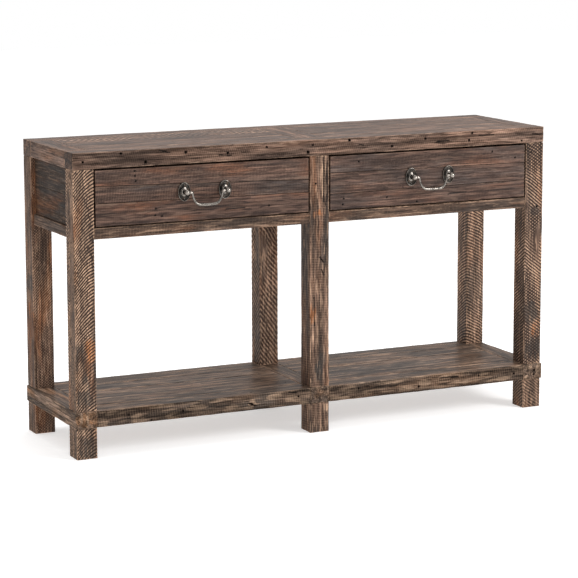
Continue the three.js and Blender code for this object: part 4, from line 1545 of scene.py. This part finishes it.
@dataclass(frozen=True)
class FrontLook:
    """How a drawer front differs.

    The seams and how far each line tilts are in millimetres. Each plank has its tone, warmth and
    greyness, and its saw marks. Holes are nail holes by plank.
    """

    seams: tuple[float, float]
    rises: tuple[float, float, float, float]
    shades: tuple[Triple, ...]
    saws: tuple[SawMarks, ...]
    holes: dict[int, tuple[tuple[float, float], ...]]


FRONT_LOOKS = {
    "left": FrontLook(
        seams=(673.5, 714), rises=(0, -7, -18, 0),
        shades=((0.9, 0.8, 0.1), (0.9, 0.2, 1.0), (1.1, 0.7, 0.35)),
        saws=(
            SawMarks(slope=0.06, pitch=5, show=0.08), SawMarks(slope=0.04, pitch=4.6, depth=0.12, show=0.32),
            SawMarks(slope=0.04, pitch=4.2, depth=0.1, show=0.26),
        ),
        holes={
            0: ((-481, 654), (-464, 633), (-483, 636), (-152, 642)),
            2: ((-539, 757), (-539, 744), (-537, 730)),
        },
    ),
    "right": FrontLook(
        seams=(662, 716), rises=(0, 3, -4, 0),
        shades=((1.0, 0.4, 0.5), (1.05, 0.25, 0.8), (1.05, 0.45, 0.8)),
        saws=(
            SawMarks(slope=0.06, pitch=5, show=0.08), SawMarks(slope=0.05, pitch=4.4, depth=0.1, show=0.18),
            SawMarks(slope=0.04, pitch=4.6, depth=0.1, show=0.18),
        ),
        holes={
            0: ((74, 646), (71, 630), (208, 642), (302, 624)), 2: ((544, 750), (619, 729), (120, 745)),
        },
    ),
}


@dataclass
class Drawer:
    """One drawer box: a front of three planks, with a softwood box behind it."""

    side: str

    @property
    def body(self) -> str:
        """The CAD body that the drawer is."""
        return f"drawer_{self.side}"

    def boards(self) -> list[Board]:
        """Returns the drawer's boards."""
        front, back, bottom, outer, inner = (
            Block.of(f"{self.body}_{part}")
            for part in ("front", "back", "bottom", "outer_side", "inner_side")
        )
        left, right = sorted((outer, inner), key=lambda block: block.low[0])
        within = (left.high[0], right.low[0])
        found = self._front_planks(front)
        for part, block in (("outer_side", outer), ("inner_side", inner)):
            place = block.between(1, front.high[1], block.high[1])
            found.append(self._inside(part, place, Lie.ON_EDGE_ACROSS, 80 + len(found)))
        found.append(self._inside("back", back.between(0, *within), Lie.ON_EDGE, 86))
        bottom = bottom.between(0, *within).between(1, front.high[1], bottom.high[1])
        found.append(self._inside("bottom", bottom, Lie.FLAT, 88))
        return found

    def _front_planks(self, front: Block) -> list[Board]:
        """Returns the planks of the front, from the bottom up."""
        look = FRONT_LOOKS[self.side]
        middle = front.centre.x / MM
        found = []
        for index, plank in enumerate(front.sliced(2, [seam * MM for seam in look.seams])):
            tone, warmth, greyness = look.shades[index]
            marks = nails(Face.FRONT, *((*at, 4.0) for at in look.holes.get(index, ())))
            if index == 0:
                marks += cracks(Face.FRONT, (middle + 60, 639, middle + 120, 641, 0.8, 2.0))
            found.append(Board(
                name=f"{self.body}_front_plank_{index + 1}", place=plank, lie=Lie.ON_EDGE,
                finish=DRAWER_TIMBER,
                seed=70.0 + 1.9 * index + (5.0 if self.side == "right" else 0.0), body=self.body,
                stands_for=f"{self.body}_front", edge=1.0, dent=0.15, cell=2.8, gap=0.35, worn=0.45,
                marks=marks,
                skew=(look.rises[index] * MM, look.rises[index + 1] * MM), saw=look.saws[index],
                tone=tone, warmth=warmth, greyness=greyness,
            ))
        return found

    def _inside(self, part: str, place: Block, lie: Lie, seed: float) -> Board:
        """Returns one board of the box."""
        node = f"{self.body}_{part}"
        return Board(
            name=f"{node}_board", place=place, lie=lie, finish=SOFTWOOD, stands_for=node, body=self.body,
            seed=seed + (4.0 if self.side == "right" else 0.0), cell=5, edge=0.9, warp=0.15, dent=0.0,
            worn=0.2,
            greyness=0.15, warmth=0.3,
        )


# ------------------------------------------------------------------------------------------------
# Handles
# ------------------------------------------------------------------------------------------------


def rubbed_and_highlit_rims(mesh: bpy.types.Mesh) -> np.ndarray:
    """Returns how much each vertex is lightened, 1 on the sharpest rims and 0 in hollows: rubbed wear and
    painted highlights.
    """
    shape = bmesh.new()
    shape.from_mesh(mesh)
    shape.normal_update()
    rub = np.zeros(len(mesh.vertices))
    for vertex in shape.verts:
        bend = sum(
            edge.calc_face_angle_signed(0.0) / max(edge.calc_length(), 0.3 * MM) for edge in vertex.link_edges
        )
        rub[vertex.index] = bend / max(len(vertex.link_edges), 1) * MM
    shape.free()
    return np.clip((rub - 0.10) / 0.25, 0.0, 1.0)


def lathe(profile: Sequence[tuple[float, float]], sides: int, squeeze: float = 1.0) -> bpy.types.Mesh:
    """Turns a profile round the Y axis.

    Args:
        profile: Pairs of radius and distance towards -Y, in metres, both ends on the axis.
        sides: Steps round the axis.
        squeeze: Scale along X, below 1 for an oval.

    Returns:
        A closed mesh.
    """
    shape = bmesh.new()
    spins = [i / sides * math.tau for i in range(sides)]
    rings: list[list[bmesh.types.BMVert]] = []
    for radius, out in profile:
        if radius == 0:
            rings.append([shape.verts.new((0, -out, 0))])
        else:
            rings.append([
                shape.verts.new((math.cos(a) * radius * squeeze, -out, math.sin(a) * radius)) for a in spins
            ])
    for low, high in zip(rings, rings[1:]):
        for i in range(sides):
            j = (i + 1) % sides
            corners = [low[i % len(low)], low[j % len(low)], high[j % len(high)], high[i % len(high)]]
            shape.faces.new(list(dict.fromkeys(corners)))
    return closed_mesh("turned", shape)


def arc(
    centre: tuple[float, float], radius: float, start: float, end: float, steps: int,
) -> list[tuple[float, float]]:
    """Returns points on an arc, angles in degrees from the radius axis."""
    turns = [math.radians(start + (end - start) * i / steps) for i in range(steps + 1)]
    return [(centre[0] + radius * math.cos(t), centre[1] + radius * math.sin(t)) for t in turns]


def wire_screws(graph: Graph, given: dict[str, Any]) -> dict[str, Any]:
    """Wires domed, slotted screws on a grid of places, each turned its own way."""
    limits = (given["Across"], given["Up"], given["Columns"], 2)
    grid = graph.add("GeometryNodeMeshGrid", *limits).outputs["Mesh"]
    ball = graph.add("GeometryNodeMeshUVSphere", 20, 12, given["Radius"]).outputs["Mesh"]
    dome = graph.add("GeometryNodeTransform", ball)
    graph.feed(dome.inputs["Scale"], (1.0, 1.0, 0.5))
    slot = graph.add("GeometryNodeMeshCube", graph.join(0.02, given["Slot"], given["Radius"])).outputs["Mesh"]
    lifted = graph.add("GeometryNodeTransform", slot)
    graph.feed(lifted.inputs["Translation"], graph.join(0.0, 0.0, graph.times(given["Radius"], 0.75)))
    cut = graph.add("GeometryNodeMeshBoolean", operation="DIFFERENCE")
    graph.feed(cut.inputs["Mesh 1"], dome.outputs[0])
    graph.feed(cut.inputs["Mesh 2"], lifted.outputs[0])
    turn = graph.add("FunctionNodeRandomValue", data_type="FLOAT")
    graph.feed(turn.inputs["Seed"], 7)
    graph.feed([s for s in turn.inputs if s.name == "Max" and s.type == "VALUE"][0], math.pi)
    angle = [s for s in turn.outputs if s.type == "VALUE"][0]
    placed = graph.add("GeometryNodeInstanceOnPoints", grid)
    graph.feed(placed.inputs["Instance"], cut.outputs["Mesh"])
    graph.feed(placed.inputs["Rotation"], graph.join(0.0, 0.0, angle))
    return {"Geometry": dressed_end(graph, placed.outputs[0], given["Material"])}


def wire_nuts(graph: Graph, given: dict[str, Any]) -> dict[str, Any]:
    """Wires hexagonal nuts, each with a washer, on a row of places."""
    row = graph.add("GeometryNodeMeshGrid", given["Across"], 0.001, given["Columns"], 2).outputs["Mesh"]
    keep = graph.add("GeometryNodeDeleteGeometry", row, domain="POINT")
    height = graph.split(graph.add("GeometryNodeInputPosition").outputs[0])[1]
    graph.feed(keep.inputs["Selection"], graph.math("GREATER_THAN", height, 0.0))
    radius, washer_tall = given["Radius"], 1.2 * MM
    nut = graph.add("GeometryNodeMeshCylinder", 6, 1, 1, radius, graph.times(radius, 0.9))
    washer = graph.add("GeometryNodeMeshCylinder", 28, 1, 1, graph.times(radius, 1.35), washer_tall)
    raised = graph.add("GeometryNodeTransform", nut.outputs["Mesh"])
    lift = graph.math("MULTIPLY_ADD", radius, 0.45, washer_tall / 2)
    graph.feed(raised.inputs["Translation"], graph.join(0.0, 0.0, lift))
    both = graph.add("GeometryNodeMeshBoolean", operation="UNION")
    graph.feed(both.inputs["Mesh 2"], raised.outputs[0])
    graph.feed(both.inputs["Mesh 2"], washer.outputs["Mesh"])
    bore = graph.add("GeometryNodeMeshCylinder", 24, 1, 1, given["Slot"], 0.03)
    open_nut = graph.add("GeometryNodeMeshBoolean", operation="DIFFERENCE")
    graph.feed(open_nut.inputs["Mesh 1"], both.outputs["Mesh"])
    graph.feed(open_nut.inputs["Mesh 2"], bore.outputs["Mesh"])
    placed = graph.add("GeometryNodeInstanceOnPoints", keep.outputs[0])
    graph.feed(placed.inputs["Instance"], open_nut.outputs["Mesh"])
    return {"Geometry": dressed_end(graph, placed.outputs[0], given["Material"])}


FASTENER_INPUTS = {
    "Across": "Float", "Up": "Float", "Columns": "Int", "Radius": "Float", "Slot": "Float",
    "Material": "Material",
}
SCREWS = GroupMaker("plate_screws", FASTENER_INPUTS, ("Geometry",), wire_screws, kind="GeometryNodeTree")
NUTS = GroupMaker("stud_nuts", FASTENER_INPUTS, ("Geometry",), wire_nuts, kind="GeometryNodeTree")


def sideways(way: float, start: float, out: float = 0.0) -> Matrix:
    """Returns the move that lays a turned piece along X, one way or the other, from a start."""
    return Matrix.Translation((way * start, -out, 0)) @ Matrix.Rotation(way * math.pi / 2, 4, "Z")


@dataclass
class BailPull:
    """A hanging bail between two posts, each on an oval plate.

    A post is a dished plate with a rolled rim, a stem and a ball. The bail's pins turn in the balls. Its
    arms stand in from the balls and its grip, thicker than the arms, is straight in the middle.
    """

    side: str
    plate_thick: float = 2.2 * MM
    rim: float = 1.6 * MM
    stem: float = 5.2 * MM
    ball: float = 8.0 * MM
    stud: float = 2.2 * MM
    pin: float = 2.0 * MM
    pin_hole: float = 2.35 * MM
    pin_hold: float = 7.5 * MM
    knuckle: float = 3.6 * MM
    sunk: float = 2.0 * MM
    shoulder: float = 1.5 * MM
    arm_inset: float = 16.0 * MM
    arm_rod: float = 2.9 * MM
    grip_rod: float = 4.2 * MM
    grip: float = 19.0 * MM
    screw_up: float = 18.0 * MM
    screw_radius: float = 3.3 * MM

    def __post_init__(self) -> None:
        """Reads the pull's places from the frame."""
        self.front = Block.of(f"drawer_{self.side}_front")
        self.posts = {part: Block.of(f"handle_{self.side}_post_{part}") for part in ("outer", "inner")}
        self.hanging = Block.of(f"handle_{self.side}_bail")
        outer, inner = (post.centre for post in self.posts.values())
        self.pivot = Vector((self.hanging.centre.x, self.hanging.centre.y, outer.z))
        self.face_y = self.front.low[1] - 0.3 * MM
        self.spacing = abs(outer.x - inner.x)

    def build(self) -> None:
        """Makes the posts, the bail, the screws and the nuts."""
        for part, place in self.posts.items():
            self._post(part, place)
        self._bail()
        outside, inside = self.face_y - 1.8 * MM, self.front.high[1] + 0.8 * MM
        self._fasteners("screws", SCREWS, outside, 1, 2 * self.screw_up, self.screw_radius, 0.8 * MM)
        self._fasteners("nuts", NUTS, inside, -1, 0.0, 4.4 * MM, 2.4 * MM)

    def _finish(
        self, name: str, mesh: bpy.types.Mesh, body: str, *nodes: str, polish: float = 0.0,
        highlight_ball_at: Triple | None = None,
    ) -> None:
        """Names, dresses and hangs one iron piece.

        Args:
            name: The piece's name.
            mesh: Its mesh, in place.
            body: The body it rides on.
            *nodes: The CAD nodes it stands for.
            polish: The least lightening of its base colour, 0 to 1: rubbed wear and painted highlight.
            highlight_ball_at: The middle of a ball whose base colour is lightened more, a painted highlight.
        """
        mesh.name = name
        mesh.materials.clear()
        mesh.materials.append(IRON.material())
        mesh.shade_smooth()
        mesh.set_sharp_from_angle(angle=math.radians(38))
        least = np.full(len(mesh.vertices), polish)
        if highlight_ball_at is not None:
            apart = np.linalg.norm(vertex_places(mesh) - np.array(highlight_ball_at), axis=1)
            # Painted highlight on the ball.
            least[apart < self.ball + 0.6 * MM] = 0.4
        set_attribute(mesh, "rub", np.maximum(rubbed_and_highlit_rims(mesh), least))
        piece = mesh_object(name, mesh)
        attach(piece, body)
        if nodes:
            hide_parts(*nodes)
        LOG.info("%s: %d faces on %s", name, len(mesh.polygons), body)

    def _post(self, part: str, place: Block) -> None:
        """Makes one plate with its stem, ball and stud."""
        tall = place.size.z / 2
        reach = self.face_y - self.pivot.y
        thick = self.plate_thick
        mesh = lathe([
            (0, 0), (tall - 0.4 * MM, 0), (tall, 0.5 * MM), (tall, thick * 0.7),
            *arc((tall - 1.7 * MM, thick), self.rim, -10, 190, 8),
            (tall - 4.6 * MM, thick * 0.75), (tall - 7.5 * MM, thick * 0.62), (tall * 0.5, thick * 0.8),
            (tall * 0.42, thick * 1.25), (tall * 0.34, thick * 1.45), (0, thick * 1.5),
        ], 72, place.size.x / place.size.z)
        stem = lathe([
            (0, thick * 0.5), (8.2 * MM, thick * 0.5), *arc((6.6 * MM, thick + self.rim), self.rim, 0, 90, 4),
            (6.2 * MM, thick + 3.4 * MM), (self.stem, thick + 5.4 * MM), (self.stem * 0.92, reach * 0.62),
            (self.stem * 1.1, reach * 0.7), (0, reach),
        ], 40)
        ball = lathe([(0, -self.ball), *arc((0, 0), self.ball, -82, 82, 18), (0, self.ball)], 44)
        ball.transform(Matrix.Translation((0, -reach, 0)))
        stud_end = self.face_y - place.high[1]
        stud = lathe([
            (0, thick), (self.stud, thick), (self.stud, stud_end + 0.5 * MM),
            (self.stud - 0.4 * MM, stud_end), (0, stud_end),
        ], 20)
        for piece in (stem, ball, stud):
            mesh = cut_or_join(mesh, piece, "UNION")
        hole = lathe([(0, -0.5 * MM), (self.pin_hole, -0.5 * MM), (self.pin_hole, 12 * MM), (0, 12 * MM)], 24)
        way = math.copysign(1.0, self.pivot.x - place.centre.x)
        hole.transform(sideways(way, self.ball - self.pin_hold, reach))
        mesh = cut_or_join(mesh, hole, "DIFFERENCE")
        mesh.transform(Matrix.Translation((place.centre.x, self.face_y, self.pivot.z)))
        name = f"handle_{self.side}_post_{part}"
        highlight_ball_at = (place.centre.x, self.pivot.y, self.pivot.z)
        self._finish(f"{name}_cast", mesh, f"drawer_{self.side}", name, highlight_ball_at=highlight_ball_at)

    def _bail(self) -> None:
        """Makes the bent rod, thick in its grip, with a knuckle and a pin at each end."""
        drop = self.pivot.z - (self.hanging.low[2] + 3.0 * MM)
        arm = self.spacing / 2 - self.arm_inset
        inner = self.spacing / 2 - self.ball - self.shoulder
        half = [
            (inner, 0.0), (arm + 1.0 * MM, 0.0), (arm - 0.4 * MM, 0.25 * drop),
            (arm - 4.0 * MM, 0.58 * drop), (arm - 12.0 * MM, 0.9 * drop), (self.grip, drop),
        ]
        bends = [Vector((x, 0, -deep)) for x, deep in half]
        bends += [Vector((-x, 0, -deep)) for x, deep in reversed(half)]
        line = eased(bends, 3)
        radii = [self.arm_rod + (self.grip_rod - self.arm_rod) * (point.z / drop) ** 4 for point in line]
        mesh = swept(line, radii, 20)
        length = self.spacing / 2 - self.ball + self.pin_hold - inner + self.sunk
        for way in (-1, 1):
            pin = lathe([(0, 0), (self.pin, 0), (self.pin, length), (0, length)], 20)
            pin.transform(sideways(way, inner - self.sunk))
            round_end = arc((0, 0), self.knuckle, -80, 80, 10)
            knuckle = lathe([(0, -self.knuckle), *round_end, (0, self.knuckle)], 24)
            knuckle.transform(Matrix.Translation((way * (inner - 1.2 * MM), 0, 0)))
            mesh = cut_or_join(cut_or_join(mesh, pin, "UNION"), knuckle, "UNION")
        mesh.transform(Matrix.Translation(self.pivot))
        name = f"handle_{self.side}_bail"
        # Painted highlight over the bail, with rubbed wear.
        self._finish(f"{name}_cast", mesh, f"bail_{self.side}", name, polish=0.3)

    def _fasteners(
        self, part: str, maker: GroupMaker, depth: float, way: int, up: float, radius: float, slot: float,
    ) -> None:
        """Makes the screws of the plates or the nuts on the studs.

        Args:
            part: screws or nuts.
            maker: Their node group.
            depth: Where they stand, along Y.
            way: 1 when they face the front, -1 for the back.
            up: The height between two rows.
            radius: Their radius.
            slot: Width of a screw's slot, or radius of a nut's hole.
        """
        mesh = nodes_mesh(maker.tree(), {
            "Across": self.spacing, "Up": up, "Columns": 2, "Radius": radius, "Slot": slot,
            "Material": IRON.material(),
        })
        stand = Matrix.Rotation(way * math.pi / 2, 4, "X")
        mesh.transform(Matrix.Translation((self.pivot.x, depth, self.pivot.z)) @ stand)
        # Painted highlights on the screw heads.
        polish = 0.45 if part == "screws" else 0.0
        self._finish(f"handle_{self.side}_{part}", mesh, f"drawer_{self.side}", polish=polish)


def eased(points: Sequence[Vector], rounds: int) -> list[Vector]:
    """Rounds a line off by cutting its corners, keeping its two ends.

    Args:
        points: The line.
        rounds: How many times each corner is cut.

    Returns:
        The smoother line.
    """
    line = list(points)
    for _ in range(rounds):
        cut = [line[0]]
        for first, second in zip(line, line[1:]):
            cut += [first.lerp(second, 0.25), first.lerp(second, 0.75)]
        line = [*cut, line[-1]]
    return line


def swept(path: Sequence[Vector], radii: Sequence[float], sides: int) -> bpy.types.Mesh:
    """Sweeps a round section along a path in the XZ plane.

    Args:
        path: The middle of the rod.
        radii: Its radius at each point.
        sides: Steps round the section.

    Returns:
        A closed mesh.
    """
    rings = []
    for i, (point, radius) in enumerate(zip(path, radii)):
        before, after = path[max(i - 1, 0)], path[min(i + 1, len(path) - 1)]
        across = Vector((0, 1, 0))
        up = (after - before).normalized().cross(across)
        spins = (k / sides * math.tau for k in range(sides))
        rings.append([point + (across * math.cos(a) + up * math.sin(a)) * radius for a in spins])
    shape = bmesh.new()
    add_ring_solid(shape, rings)
    return closed_mesh("swept", shape)


# ------------------------------------------------------------------------------------------------
# Studio
# ------------------------------------------------------------------------------------------------


@dataclass(frozen=True)
class SoftBox:
    """A square area light that points at a spot."""

    name: str
    at: Triple
    size: float
    watts: float
    aim: Triple = (0.0, 0.0, 0.4)

    def build(self) -> None:
        """Hangs the light."""
        lamp = bpy.data.lights.new(self.name, "AREA")
        lamp.shape = "SQUARE"
        lamp.size = self.size
        lamp.energy = self.watts
        thing = bpy.data.objects.new(self.name, lamp)
        bpy.context.scene.collection.objects.link(thing)
        thing.location = self.at
        thing.rotation_euler = (Vector(self.aim) - Vector(self.at)).to_track_quat("-Z", "Y").to_euler()


@dataclass(frozen=True)
class Studio:
    """A pale floor, soft lights and the camera."""

    eye: Triple = (-2.743, -5.633, 1.499)
    heading: float = 0.4457
    dip: float = 0.1524
    lean: float = -0.0031
    lens: float = 141.26
    shift: tuple[float, float] = (0.0254, -0.10)
    sky_light: float = 0.62

    def build(self) -> None:
        """Builds everything that isn't the table."""
        self._floor()
        self._sky()
        for box in (
            SoftBox("key_light", (2.7, -3.2, 2.4), 1.5, 110),
            SoftBox("fill_light", (-3.0, -4.8, 1.9), 2.4, 31),
            SoftBox("top_light", (0.2, 0.6, 3.4), 2.4, 45),
        ):
            box.build()
        self._camera()

    def _floor(self) -> None:
        """Lays the floor."""
        shape = bmesh.new()
        bmesh.ops.create_grid(shape, x_segments=1, y_segments=1, size=14.0)
        mesh = bpy.data.meshes.new("floor")
        shape.to_mesh(mesh)
        shape.free()
        material, _, shader = empty_material("pale_floor")
        shader.inputs["Base Color"].default_value = (0.9, 0.9, 0.9, 1.0)
        shader.inputs["Roughness"].default_value = 0.9
        shader.inputs["Emission Color"].default_value = (1.0, 1.0, 1.0, 1.0)
        shader.inputs["Emission Strength"].default_value = 0.5
        mesh.materials.append(material)
        mesh_object("floor", mesh)

    def _sky(self) -> None:
        """Sets an even pale surrounding."""
        world = bpy.data.worlds.new("studio")
        bpy.context.scene.world = world
        world.use_nodes = True
        background = next(n for n in world.node_tree.nodes if n.type == "BACKGROUND")
        background.inputs["Color"].default_value = (1.0, 1.0, 1.0, 1.0)
        graph = Graph(world.node_tree)
        seen = graph.add("ShaderNodeLightPath").outputs["Is Camera Ray"]
        graph.feed(background.inputs["Strength"], graph.between(seen, self.sky_light, 1.0))
        bpy.context.scene.view_settings.view_transform = "Standard"

    def _camera(self) -> None:
        """Sets up the camera."""
        data = bpy.data.cameras.new("camera")
        data.sensor_width = 36.0
        data.lens = self.lens
        data.shift_x, data.shift_y = self.shift
        data.clip_end = 100.0
        camera = bpy.data.objects.new("camera", data)
        bpy.context.scene.collection.objects.link(camera)
        east, north, level = math.sin(self.heading), math.cos(self.heading), math.cos(self.dip)
        ahead = Vector((east * level, north * level, -math.sin(self.dip)))
        right = Vector((north, -east, 0.0))
        up = right.cross(ahead)
        turn = Matrix((right, up, -ahead)).transposed() @ Matrix.Rotation(self.lean, 3, "Z")
        camera.matrix_world = Matrix.Translation(self.eye) @ turn.to_4x4()
        bpy.context.scene.camera = camera


# ------------------------------------------------------------------------------------------------
# The table
# ------------------------------------------------------------------------------------------------


def corners(limits: Iterable[Vector]) -> list[list[float]]:
    """Returns corners as plain lists of numbers."""
    return [list(corner) for corner in limits]


def main() -> None:
    """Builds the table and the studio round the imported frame."""
    logging.basicConfig(level=logging.INFO, format="%(message)s")
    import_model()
    Studio().build()
    levels = Levels.of_frame()
    boards = [
        *Legs(levels).boards(), *Shelf().boards(), *Top().boards(), *Apron(levels).boards(),
        *Runners(levels).boards(), *(board for side in SIDES for board in Drawer(side).boards()),
    ]
    for board in boards:
        board.build()
    for side in SIDES:
        BailPull(side).build()
    LOG.info("boards: %d", len(boards))


if __name__ == "__main__":
    main()
